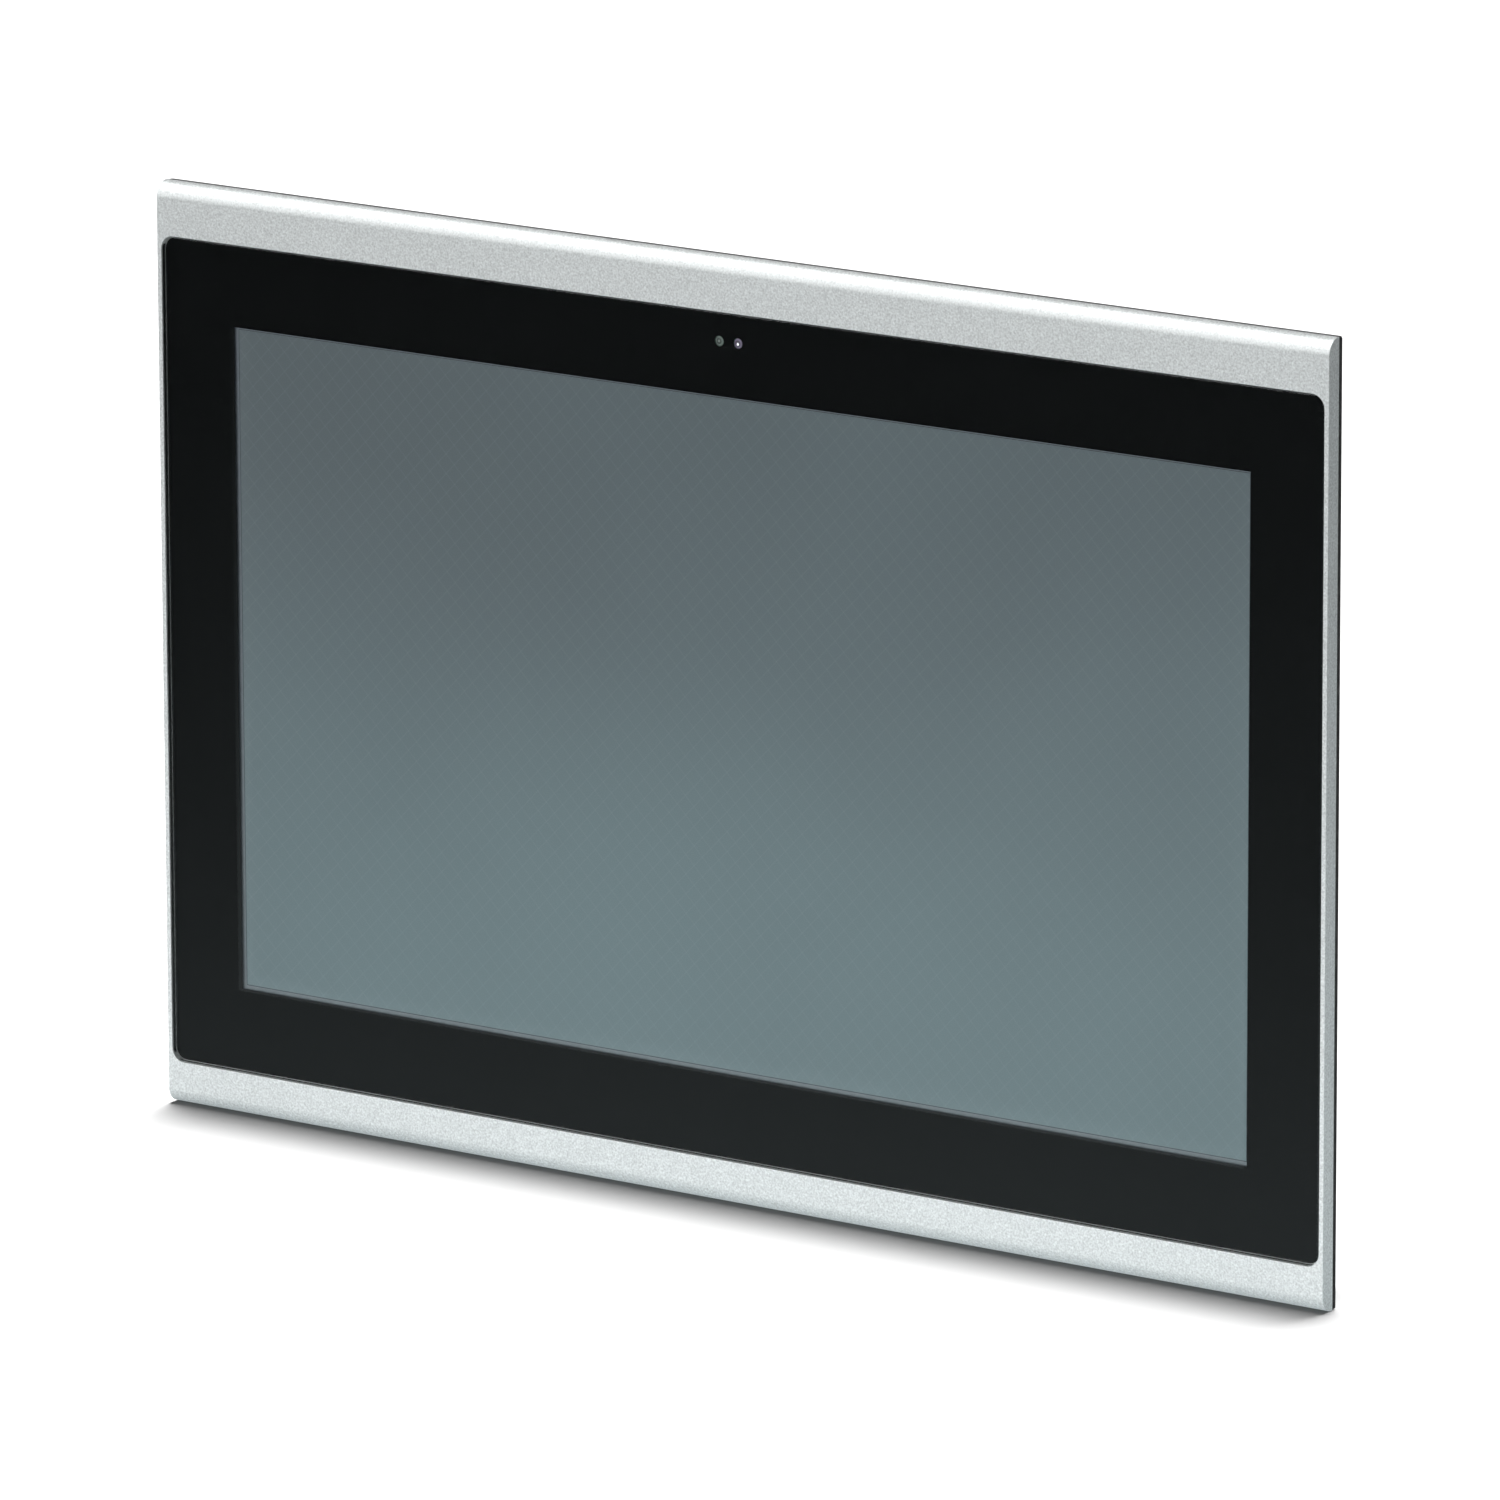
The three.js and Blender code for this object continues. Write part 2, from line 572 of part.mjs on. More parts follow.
/** The network and USB sockets, the card socket and the reset switch. */
function buildSockets() {
  LAN_X.forEach((x, i) => {
    const top = BOARD_REAR + LAN.h / 2 + LAN.cavity[1] / 2;
    const latch = box([x - 3.2, top - 1, MOUTH - 1], [x + 3.2, top + 2, MOUTH + 12]);
    node(`lan_socket_${i + 1}`, shell(x, LAN).subtract(latch), PLATED);
  });
  USB_X.forEach((x, i) => node(`usb_socket_${i + 1}`, shell(x, USB), PLATED));

  const card = { ...CARD, cavity: CARD.slot };
  node("card_socket", shell(CARD.x, card), PLATED);

  const { x, y } = RESET;
  node("reset_switch", box([x - 3, BOARD_REAR, -99.2], [x + 3, y + 3, -95.2]), CONNECTOR);
  const collar = rod("z", 3, CASE_INNER_FLOOR + 0.2, CASE_INNER_FLOOR + 1.2, x, y);
  node("reset_button", rod("z", 1.8, CASE_FLOOR - 1.2, -100.1, x, y).add(collar), CONNECTOR);
}

/** The power header and the plug in it, which carries the supply wires' screw terminals. */
function buildPower() {
  const offsets = [-POWER.pitch, 0, POWER.pitch];
  const floor = MOUTH + POWER.cavity[2];
  const pins = offsets.map((d) => rod("z", 0.55, MOUTH + 2, floor + 1, POWER_X + d, POWER_Y, 8));
  node("power_header", join([shell(POWER_X, POWER), ...pins]), CONNECTOR);

  const nose = box(
    [POWER_X - 7.9, POWER_Y - 3.4, MOUTH - 1],
    [POWER_X + 7.9, POWER_Y + 3.4, MOUTH + 8],
  );
  const body = box(
    [POWER_X - 9, POWER_Y - 5.5, MOUTH - 12],
    [POWER_X + 9, POWER_Y + 5.5, MOUTH - 0.4],
  );
  const contacts = offsets.map((d) => rod("z", 0.9, MOUTH + 1, MOUTH + 9, POWER_X + d, POWER_Y, 8));
  const wires = offsets.map((d) =>
    rod("z", 1.6, MOUTH - 13, MOUTH - 5, POWER_X + d, POWER_Y - 1.5, 12),
  );
  const screws = offsets.map((d) =>
    rod("y", 1.7, POWER_Y + 3, POWER_Y + 7, POWER_X + d, MOUTH - 6.5, 12),
  );
  node("power_plug", cut(nose.add(body), [...contacts, ...wires, ...screws]), PLUG_GREEN);
}

/** The hinged flap over the card socket, and its pin. */
function buildFlap() {
  const [left, right] = [FLAP.x - FLAP.w / 2, FLAP.x + FLAP.w / 2];
  const top = FLAP.pivotZ + FLAP.barrel;
  const leaf = box([left, FLAP.front, top - FLAP.t], [right, FLAP.pivotY, top]);
  const lip = box([left + 9, FLAP.front, top - 2.8], [right - 9, FLAP.front + 1.2, top - 0.5]);
  const barrel = rod("x", FLAP.barrel, left, right, FLAP.pivotY, FLAP.pivotZ);
  const way = rod("x", 0.7, left - 1, right + 1, FLAP.pivotY, FLAP.pivotZ, 12);
  node("card_flap", join([leaf, lip, barrel]).subtract(way), CONNECTOR);
  const pin = rod("x", 0.6, left - 3.3, right + 3.3, FLAP.pivotY, FLAP.pivotZ, 12);
  node("flap_pin", pin, STEEL);
}

/** The earthing stud, held by a collar inside the case, and its nut. */
function buildEarth() {
  const { x, y } = EARTH;
  const shank = rod("z", 2.5, CASE_FLOOR - 15, CASE_INNER_FLOOR + 1, x, y);
  const collar = rod("z", 4.5, CASE_INNER_FLOOR, CASE_INNER_FLOOR + 1.5, x, y);
  node("earth_stud", shank.add(collar), BRASS);
  const nut = rod("z", 4.62, CASE_FLOOR - 4, CASE_FLOOR, x, y, 6);
  const bore = rod("z", 2.6, CASE_FLOOR - 5, CASE_FLOOR + 1, x, y);
  node("earth_nut", nut.subtract(bore), STEEL);
}

buildFrame();
buildGlass();
buildDisplay();
buildCarrier();
buildSensors();
buildGasket();
buildTray();
CLAMPS.forEach((clamp, i) => buildClamp(clamp, i + 1));
buildCase();
buildCover();
buildHeatSink();
buildBoards();
buildSockets();
buildPower();
buildFlap();
buildEarth();

export default group;
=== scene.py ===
"""Looks of a door-mounted touch panel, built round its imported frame."""

import json
import logging
import math
from dataclasses import dataclass, field
from enum import Enum
from typing import Iterable, Optional, Sequence, Union

import bmesh
import bpy
from mathutils import Matrix, Vector

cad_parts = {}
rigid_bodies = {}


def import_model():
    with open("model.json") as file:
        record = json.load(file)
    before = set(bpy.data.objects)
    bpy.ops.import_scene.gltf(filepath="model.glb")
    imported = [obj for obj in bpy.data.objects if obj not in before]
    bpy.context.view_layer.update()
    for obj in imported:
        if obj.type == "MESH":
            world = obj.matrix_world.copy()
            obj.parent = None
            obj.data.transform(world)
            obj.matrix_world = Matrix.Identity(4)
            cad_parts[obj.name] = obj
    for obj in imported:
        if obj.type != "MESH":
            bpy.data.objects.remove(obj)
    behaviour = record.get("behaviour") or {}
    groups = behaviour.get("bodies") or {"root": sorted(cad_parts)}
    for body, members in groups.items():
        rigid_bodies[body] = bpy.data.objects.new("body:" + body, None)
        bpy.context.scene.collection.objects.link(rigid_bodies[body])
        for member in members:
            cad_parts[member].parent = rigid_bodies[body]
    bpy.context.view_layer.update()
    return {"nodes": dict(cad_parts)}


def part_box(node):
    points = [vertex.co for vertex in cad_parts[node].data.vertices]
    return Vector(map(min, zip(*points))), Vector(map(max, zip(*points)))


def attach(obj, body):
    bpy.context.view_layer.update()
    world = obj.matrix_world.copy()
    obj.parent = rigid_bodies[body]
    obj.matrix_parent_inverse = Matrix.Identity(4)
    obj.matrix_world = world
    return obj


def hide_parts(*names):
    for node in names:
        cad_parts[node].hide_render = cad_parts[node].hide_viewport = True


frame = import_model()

LOG = logging.getLogger("touch_panel")
MM = 0.001
Point = tuple[float, float, float]
Spot = tuple[float, float]
Loop = list[Spot]
Colour = tuple[float, float, float]
Profile = list[Spot]


class Axis(Enum):
    """A direction of the panel's frame, with the two directions that span the plane across it."""

    X = ((0, 1, 0), (0, 0, 1), (1, 0, 0))
    Y = ((1, 0, 0), (0, 0, 1), (0, 1, 0))
    Z = ((1, 0, 0), (0, 1, 0), (0, 0, 1))

    def point(self, a: float, b: float, along: float) -> Vector:
        """A point from its two places across the axis and its place along it.

        Args:
            a: place on the first direction.
            b: place on the second direction.
            along: place on the axis.

        Returns:
            The point in the panel's frame.
        """
        u, v, w = (Vector(d) for d in self.value)
        return u * a + v * b + w * along


class Slot(Enum):
    """The record's material slots."""

    ALUMINIUM = "anodised_aluminium"
    GLASS = "cover_glass"
    PRINT = "black_print"
    TAPE = "black_tape"
    TOUCH = "touch_sensor"
    FOAM = "foam"
    DISPLAY_METAL = "display_metal"
    DISPLAY = "display_panel"
    ACRYLIC = "clear_acrylic"
    BOARD = "circuit_board"
    CHIP = "chip_black"
    ZINC = "zinc_steel"
    RUBBER = "gasket_rubber"
    SINK = "heat_sink_alloy"
    CLAMP = "clamp_alloy"
    CONNECTOR = "connector_plastic"
    PLATED = "plated_metal"
    GREEN = "plug_green"
    STEEL = "bright_steel"
    BRASS = "brass"
    LABEL = "blank_label"


# ------------------------------------------------------------------ shader networks


class Signal:
    """A shader socket that takes part in arithmetic."""

    def __init__(self, net: "Network", socket: bpy.types.NodeSocket) -> None:
        """Wraps a socket.

        Args:
            net: the network that the socket belongs to.
            socket: the output socket.
        """
        self.net = net
        self.socket = socket

    def _math(self, operation: str, *values: "Value") -> "Signal":
        """Adds a Math node.

        Args:
            operation: the node's operation.
            values: its inputs in order.

        Returns:
            The node's result.
        """
        return self.net.node("ShaderNodeMath", {"operation": operation}, dict(enumerate(values)))

    def __add__(self, other: "Value") -> "Signal":
        """The sum."""
        return self._math("ADD", self, other)

    __radd__ = __add__

    def __sub__(self, other: "Value") -> "Signal":
        """The difference."""
        return self._math("SUBTRACT", self, other)

    def __rsub__(self, other: "Value") -> "Signal":
        """The difference from a number on the left."""
        return self._math("SUBTRACT", other, self)

    def __mul__(self, other: "Value") -> "Signal":
        """The product."""
        return self._math("MULTIPLY", self, other)

    __rmul__ = __mul__

    def __truediv__(self, other: "Value") -> "Signal":
        """The quotient."""
        return self._math("DIVIDE", self, other)

    def __pow__(self, other: "Value") -> "Signal":
        """The power."""
        return self._math("POWER", self, other)

    def __abs__(self) -> "Signal":
        """The size without its sign."""
        return self._math("ABSOLUTE", self)

    def zigzag(self, period: float) -> "Signal":
        """A triangle wave from 0 to half the period, which is back at 0 after each period."""
        return self._math("PINGPONG", self, period / 2)

    def exponential(self) -> "Signal":
        """The natural exponential."""
        return self._math("EXPONENT", self)

    def within(self, low: float, high: float) -> "Signal":
        """How far the value is from low to high, eased and held to 0 and 1.

        Args:
            low: the value that gives 0.
            high: the value that gives 1.

        Returns:
            The share.
        """
        settings = {"interpolation_type": "SMOOTHSTEP"}
        sockets = {"Value": self, "From Min": low, "From Max": high}
        return self.net.node("ShaderNodeMapRange", settings, sockets)


Value = Union[Signal, float]
Paint = Union[Signal, Colour]


class Cells(Enum):
    """What is read from a cell pattern, with the output that holds it."""

    COLOUR = ("F1", "Color")
    EDGES = ("DISTANCE_TO_EDGE", "Distance")


class Network:
    """The node tree of one finish, or of the surroundings."""

    def __init__(self, tree: bpy.types.NodeTree) -> None:
        """Starts from an empty tree."""
        self.tree = tree
        tree.nodes.clear()

    def node(
        self,
        kind: str,
        settings: Optional[dict] = None,
        sockets: Optional[dict] = None,
        out: Union[int, str] = 0,
    ) -> Signal:
        """Adds one node.

        Args:
            kind: the node's type.
            settings: its own settings, where "stops" fills a colour ramp.
            sockets: a value or a link for each named or numbered input.
            out: the output to use.

        Returns:
            That output.
        """
        made = self.tree.nodes.new(kind)
        for name, value in (settings or {}).items():
            if name == "stops":
                elements = made.color_ramp.elements
                while len(elements) < len(value):
                    elements.new(1.0)
                for element, (place, colour) in zip(elements, value):
                    element.position = place
                    element.color = (*colour, 1)
            else:
                setattr(made, name, value)
        for name, value in (sockets or {}).items():
            if isinstance(value, Signal):
                self.tree.links.new(value.socket, made.inputs[name])
            else:
                made.inputs[name].default_value = value
        return Signal(self, made.outputs[out])

    def place(self) -> Signal:
        """The point on the piece, in metres in the panel's frame."""
        return self.node("ShaderNodeTexCoord", out="Object")

    def parts(self, vector: Signal) -> tuple[Signal, Signal, Signal]:
        """The three parts of a vector.

        Args:
            vector: the vector.

        Returns:
            Its parts along X, Y and Z.
        """
        split = self.node("ShaderNodeSeparateXYZ", sockets={0: vector})
        outputs = split.socket.node.outputs
        return tuple(Signal(self, outputs[i]) for i in range(3))

    def stretched(self, stretch: Point) -> Signal:
        """The point on the piece, with each direction scaled."""
        sockets = {0: self.place(), 1: stretch}
        return self.node("ShaderNodeVectorMath", {"operation": "MULTIPLY"}, sockets)

    def noise(self, scale: float, detail: float = 2, stretch: Point = (1, 1, 1)) -> Signal:
        """Cloudy noise about one half.

        Args:
            scale: how many cells there are in a metre.
            detail: how many finer layers it has.
            stretch: the scale of each direction.

        Returns:
            The noise.
        """
        sockets = {"Vector": self.stretched(stretch), "Scale": scale, "Detail": detail}
        return self.node("ShaderNodeTexNoise", sockets=sockets)

    def cells(self, scale: float, feature: "Cells", irregular: float = 1.0) -> Signal:
        """A cell pattern.

        Args:
            scale: how many cells there are in a metre.
            feature: what is read from the cells.
            irregular: how far the cells are from squares, up to 1.

        Returns:
            The pattern.
        """
        kind, out = feature.value
        sockets = {"Vector": self.place(), "Scale": scale, "Randomness": irregular}
        return self.node("ShaderNodeTexVoronoi", {"feature": kind}, sockets, out)

    def blend(self, share: Value, first: Paint, second: Paint) -> Signal:
        """A colour between two.

        Args:
            share: 0 for the first and 1 for the second.
            first: a colour, or a link.
            second: a colour, or a link.

        Returns:
            The mixed colour.
        """
        ends = [v if isinstance(v, Signal) else (*v, 1) for v in (first, second)]
        sockets = {0: share, 6: ends[0], 7: ends[1]}
        return self.node("ShaderNodeMix", {"data_type": "RGBA"}, sockets, 2)

    def bump(self, height: Signal, strength: float, depth: float) -> Signal:
        """A normal from a height.

        Args:
            height: the height, from 0 to 1.
            strength: how much of it shows.
            depth: the depth of 1, in metres.

        Returns:
            The normal.
        """
        sockets = {"Strength": strength, "Distance": depth, "Height": height}
        return self.node("ShaderNodeBump", sockets=sockets)

    def surface(self, **sockets: Union[Signal, float, tuple]) -> Signal:
        """A Principled shader.

        Args:
            sockets: its sockets, named with _ for each space.

        Returns:
            The shader.
        """
        named = {name.replace("_", " "): value for name, value in sockets.items()}
        for name, value in named.items():
            if name.endswith("Color") and isinstance(value, tuple):
                named[name] = (*value, 1)
        return self.node("ShaderNodeBsdfPrincipled", sockets=named)

    def show(self, shader: Signal, kind: str = "ShaderNodeOutputMaterial") -> None:
        """Sends a shader to the output."""
        output = self.tree.nodes.new(kind)
        self.tree.links.new(shader.socket, output.inputs["Surface"])


def tinted(colour: Colour, share: float) -> Colour:
    """A colour made lighter or darker by a factor."""
    return tuple(min(1.0, channel * share) for channel in colour)


# ------------------------------------------------------------------ finishes


@dataclass(frozen=True)
class StageFinish:
    """A finish in the studio, which has no slot in the record."""

    name: str

    def shader(self, net: Network) -> Signal:
        """The finish's shader."""
        raise NotImplementedError

    def material(self) -> bpy.types.Material:
        """The finish as a material, made once.

        Returns:
            The material.
        """
        title = f"{self.name}_finish"
        found = bpy.data.materials.get(title)
        if found is None:
            found = bpy.data.materials.new(title)
            found.use_nodes = True
            net = Network(found.node_tree)
            net.show(self.shader(net))
        return found


@dataclass(frozen=True)
class Finish(StageFinish):
    """A finish that a piece of the panel can have."""

    slot: Slot


@dataclass(frozen=True)
class Metal(Finish):
    """Bare or plated metal, with a fine grain and slow clouds.

    draw scales the grain along each direction, so a small number draws it out into lines.
    """

    colour: Colour
    metallic: float = 0.85
    roughness: float = 0.4
    grain: float = 2200
    draw: Point = (1, 1, 1)
    cloud: float = 0.05
    relief: float = 0.15
    spangle: float = 0.0
    bite: float = 0.35

    def shader(self, net: Network) -> Signal:
        """Grain in the colour, the roughness and the relief.

        Args:
            net: the network to build it in.

        Returns:
            The shader.
        """
        fine = net.noise(self.grain, 3, self.draw)
        slow = net.noise(22, 4)
        share = slow * (1 - self.bite) + (fine * 2.4 - 0.7) * self.bite
        if self.spangle:
            facets = net.parts(net.cells(95, Cells.COLOUR))[0]
            share = share * (1 - self.spangle) + facets * self.spangle
        light = tinted(self.colour, 1 + self.cloud)
        dark = tinted(self.colour, 1 - self.cloud)
        return net.surface(
            Base_Color=net.blend(share, dark, light),
            Metallic=self.metallic,
            Roughness=(share - 0.5) * 0.25 + self.roughness,
            Normal=net.bump(fine, self.relief, 0.00012),
        )


@dataclass(frozen=True)
class Moulded(Finish):
    """Moulded plastic or rubber with a spark-eroded texture."""

    colour: Colour
    roughness: float = 0.5
    texture: float = 1500
    relief: float = 0.2
    sheen: float = 0.0

    def shader(self, net: Network) -> Signal:
        """Fine pits over slow clouds of colour.

        Args:
            net: the network to build it in.

        Returns:
            The shader.
        """
        pits = net.noise(self.texture, 2)
        slow = net.noise(35, 3)
        dust = net.noise(420, 2) ** 4
        colour = net.blend(slow, tinted(self.colour, 0.86), tinted(self.colour, 1.16))
        return net.surface(
            Base_Color=net.blend(dust * 0.25, colour, (0.35, 0.34, 0.33)),
            Roughness=(slow - 0.5) * 0.16 + pits * 0.08 + self.roughness,
            Sheen_Weight=self.sheen,
            Normal=net.bump(pits, self.relief, 0.00015),
        )


@dataclass(frozen=True)
class Pane(Finish):
    """Clear glass, seen through without bending, with a faint unevenness of its polish.

    Over the border it mirrors nothing, because the print there carries the gloss.
    """

    window: Spot = (0.2061, 0.1164)
    rim: Spot = (0.2346, 0.1449)
    centre: float = -0.0014
    soft: float = 0.0002
    haze: float = 0.02

    def shader(self, net: Network) -> Signal:
        """A mirror by Fresnel over what is behind.

        Args:
            net: the network to build it in.

        Returns:
            The shader.
        """
        x, _, z = net.parts(net.place())
        wide, high = abs(x), abs(z - self.centre)
        (w, h), (a, b), s = self.window, self.rim, self.soft
        inside = (1 - wide.within(w - s, w + s)) * (1 - high.within(h - s, h + s))
        rim = wide.within(a - s, a + s) + high.within(b - s, b + s)
        smears = net.noise(9, 4, (1, 1, 0.6)) ** 3
        mirror = net.node(
            "ShaderNodeBsdfAnisotropic",
            sockets={"Color": (1, 1, 1, 1), "Roughness": smears * 0.05 + self.haze},
        )
        clear = net.node("ShaderNodeBsdfTransparent", sockets={0: (0.97, 0.985, 0.98, 1)})
        share = net.node("ShaderNodeFresnel", sockets={"IOR": 1.5}) * (inside + rim)
        return net.node("ShaderNodeMixShader", sockets={0: share, 1: clear, 2: mirror})


@dataclass(frozen=True)
class BondedFace(Finish):
    """The rear face of the glass, which mirrors nothing where the print is bonded on."""

    def shader(self, net: Network) -> Signal:
        """Clear, with the lightest mottle from the adhesive.

        Args:
            net: the network to build it in.

        Returns:
            The shader.
        """
        sockets = {0: net.noise(12, 1)}
        for place, tone in ((1, 0.98), (2, 1.0)):
            clear = {0: (tone, tone, tone, 1)}
            sockets[place] = net.node("ShaderNodeBsdfTransparent", sockets=clear)
        return net.node("ShaderNodeMixShader", sockets=sockets)


@dataclass(frozen=True)
class Ink(Finish):
    """Printed or laminated black."""

    colour: Colour = (0.0022, 0.0024, 0.0025)
    roughness: float = 0.5
    gloss: float = 0.12

    def shader(self, net: Network) -> Signal:
        """Black with a trace of mottle.

        Args:
            net: the network to build it in.

        Returns:
            The shader.
        """
        mottle = net.noise(60, 2)
        return net.surface(
            Base_Color=net.blend(mottle, tinted(self.colour, 0.85), tinted(self.colour, 1.2)),
            Roughness=(mottle - 0.5) * 0.04 + self.roughness,
            Specular_IOR_Level=self.gloss,
        )


@dataclass(frozen=True)
class Screen(Finish):
    """The unlit display: lilac and teal clouds, with painted light making it lighter and more teal
    towards its foot, under a lattice of touch electrodes.
    """

    lilac: Colour = (0.086, 0.105, 0.115)
    teal: Colour = (0.133, 0.183, 0.198)
    pitch: float = 0.0048
    gain: float = 1.0

    def shader(self, net: Network) -> Signal:
        """Clouds, lattice and a fine anti-glare tooth.

        Args:
            net: the network to build it in.

        Returns:
            The shader.
        """
        x, _, z = net.parts(net.place())
        slow = net.noise(3.2, 2)
        # Painted light: low makes the screen lighter and more teal towards its foot, where more
        # light falls; x makes it more teal towards the right.
        low = 1 - z.within(-0.13, 0.13)
        share = (low * 0.55 + slow * 0.9 + x * 0.5 - 0.2).within(0, 1)
        across = (x + z + 10).zigzag(self.pitch * 1.414)
        back = (x - z + 10).zigzag(self.pitch * 1.414)
        lines = (1 - across.within(0, 0.0005)) + (1 - back.within(0, 0.0005))
        tooth = net.noise(2600, 2)
        lit = net.blend(share, tinted(self.lilac, self.gain), tinted(self.teal, self.gain))
        return net.surface(
            Base_Color=net.blend(lines * 0.035 + tooth * 0.04, lit, (0.5, 0.55, 0.58)),
            Roughness=tooth * 0.08 + 0.34,
            Specular_IOR_Level=0.4,
            Normal=net.bump(tooth, 0.06, 0.00005),
        )


@dataclass(frozen=True)
class Lens(Finish):
    """A small window in rings: a pale middle, a dark ring and a paler rim."""

    rim: Colour
    middle: Colour
    centre: Spot
    radius: float = 0.0018

    def shader(self, net: Network) -> Signal:
        """Rings of colour about the lens's centre.

        Args:
            net: the network to build it in.

        Returns:
            The shader.
        """
        x, _, z = net.parts(net.place())
        far = ((x - self.centre[0]) ** 2 + (z - self.centre[1]) ** 2) ** 0.5
        share = (far + (net.noise(900, 2) - 0.5) * 0.0002) / self.radius
        dark = tinted(self.rim, 0.3)
        stops = [(0.0, self.middle), (0.16, self.middle), (0.32, dark), (0.48, dark)]
        stops += [(0.66, self.rim), (0.9, self.rim), (1.0, dark)]
        return net.surface(
            Base_Color=net.node("ShaderNodeValToRGB", {"stops": stops}, {0: share}),
            Roughness=share * 0.1 + 0.16,
            Normal=net.bump(net.noise(1400, 2), 0.05, 0.0001),
        )


@dataclass(frozen=True)
class Circuit(Finish):
    """A circuit board with tracks under its lacquer."""

    lacquer: Colour = (0.012, 0.085, 0.038)

    def shader(self, net: Network) -> Signal:
        """Tracks as the edges of square cells.

        Args:
            net: the network to build it in.

        Returns:
            The shader.
        """
        tracks = 1 - net.cells(260, Cells.EDGES, 0.35).within(0.03, 0.09)
        weave = net.noise(1900, 1)
        light = tinted(self.lacquer, 2.0)
        return net.surface(
            Base_Color=net.blend(tracks * 0.8 + weave * 0.1, self.lacquer, light),
            Roughness=0.42 - tracks * 0.12 + weave * 0.08,
            Normal=net.bump(tracks, 0.25, 0.0001),
        )


@dataclass(frozen=True)
class Film(Finish):
    """A plain printed film for the blank label."""

    colour: Colour = (0.72, 0.73, 0.74)

    def shader(self, net: Network) -> Signal:
        """A satin film with a faint brushed print.

        Args:
            net: the network to build it in.

        Returns:
            The shader.
        """
        brushed = net.noise(1300, 2, (0.04, 1, 1))
        slow = net.noise(40, 2)
        return net.surface(
            Base_Color=net.blend(brushed, tinted(self.colour, 0.9), tinted(self.colour, 1.06)),
            Metallic=0.35,
            Roughness=slow * 0.12 + 0.36,
            Normal=net.bump(brushed, 0.08, 0.0001),
        )


@dataclass(frozen=True)
class Clear(Finish):
    """Clear moulded acrylic."""

    def shader(self, net: Network) -> Signal:
        """Glossy, pale and partly seen through.

        Args:
            net: the network to build it in.

        Returns:
            The shader.
        """
        flow = net.noise(60, 3)
        return net.surface(
            Base_Color=net.blend(flow, (0.74, 0.80, 0.82), (0.86, 0.9, 0.91)),
            Roughness=flow * 0.1 + 0.1,
            Alpha=flow * 0.1 + 0.5,
        )


@dataclass(frozen=True)
class PaintedGlowPipeEnd(Finish):
    """The bright end of the status light's pipe, with a painted glow: it gives off light of its own
    though no lamp lights it.
    """

    def shader(self, net: Network) -> Signal:
        """White with a painted glow of its own light.

        Args:
            net: the network to build it in.

        Returns:
            The shader.
        """
        flow = net.noise(1200, 2)
        return net.surface(
            Base_Color=net.blend(flow, (0.86, 0.86, 0.9), (0.95, 0.95, 0.97)),
            Roughness=flow * 0.2 + 0.2,
            # Painted glow: the emission lights the pipe's end though no lamp is behind it.
            Emission_Color=(0.9, 0.9, 1.0),
            Emission_Strength=0.25,
        )


ANODISED = Metal(
    "anodised_alu",
    Slot.ALUMINIUM,
    (0.76, 0.79, 0.79),
    0.75,
    0.48,
    1400,
    cloud=0.22,
    relief=0.6,
    bite=0.9,
)
GLASS = Pane("cover_glass", Slot.GLASS)
BONDED = BondedFace("bonded_face", Slot.GLASS)
PRINT = Ink("border_print", Slot.PRINT, roughness=0.07, gloss=0.5)
TAPE = Ink("black_tape", Slot.TAPE, (0.006, 0.006, 0.006), 0.7)
RIBBON = Ink("ribbon_film", Slot.TAPE, (0.012, 0.012, 0.013), 0.35)
SCREEN = Screen("unlit_screen", Slot.DISPLAY)
MARGIN = Screen("screen_margin", Slot.DISPLAY, (0.115, 0.13, 0.15), (0.15, 0.175, 0.19))
BLACK_LINE = Ink("black_matrix", Slot.DISPLAY, (0.045, 0.052, 0.060), 0.4)
FOAM = Moulded("black_foam", Slot.FOAM, (0.012, 0.012, 0.013), 0.9, 900, 0.6)
RUBBER = Moulded("gasket_rubber", Slot.RUBBER, (0.006, 0.0062, 0.007), 0.78, 1100, 0.35)
DISPLAY_METAL = Metal("display_steel", Slot.DISPLAY_METAL, (0.6, 0.61, 0.62), 0.85, 0.36)
CLEAR = Clear("clear_acrylic", Slot.ACRYLIC)
# The pipe end's finish carries a painted glow.
GLOWING_PIPE_END = PaintedGlowPipeEnd("pipe_end", Slot.ACRYLIC)
CIRCUIT = Circuit("circuit_board", Slot.BOARD)
CHIP = Moulded("chip_epoxy", Slot.CHIP, (0.012, 0.012, 0.013), 0.5, 1800, 0.25)
ZINC = Metal(
    "zinc_sheet", Slot.ZINC, (0.56, 0.575, 0.60), 0.78, 0.4, 1300, (1, 1, 0.12), 0.09, 0.12, 0.3
)
ZINC_DARK = Metal(
    "zinc_tray", Slot.ZINC, (0.50, 0.51, 0.545), 0.78, 0.42, 1300, (0.12, 1, 1), 0.09, 0.12, 0.3
)
SINK = Metal(
    "extruded_alu", Slot.SINK, (0.66, 0.675, 0.68), 0.85, 0.36, 1600, (1, 1, 0.02), 0.08, 0.3
)
CAST = Metal("cast_alloy", Slot.CLAMP, (0.52, 0.53, 0.54), 0.8, 0.46, 900, cloud=0.1, relief=0.35)
STEEL = Metal("bright_steel", Slot.STEEL, (0.6, 0.605, 0.61), 0.9, 0.3, 1800, cloud=0.08)
BRASS = Metal("turned_brass", Slot.BRASS, (0.66, 0.48, 0.2), 0.9, 0.3, 1800, cloud=0.1)
GOLD = Metal("gold_contact", Slot.PLATED, (0.83, 0.62, 0.26), 0.95, 0.25, 2000)
PLATED = Metal("plated_shell", Slot.PLATED, (0.66, 0.67, 0.67), 0.9, 0.27, 1500, (1, 1, 0.1), 0.07)
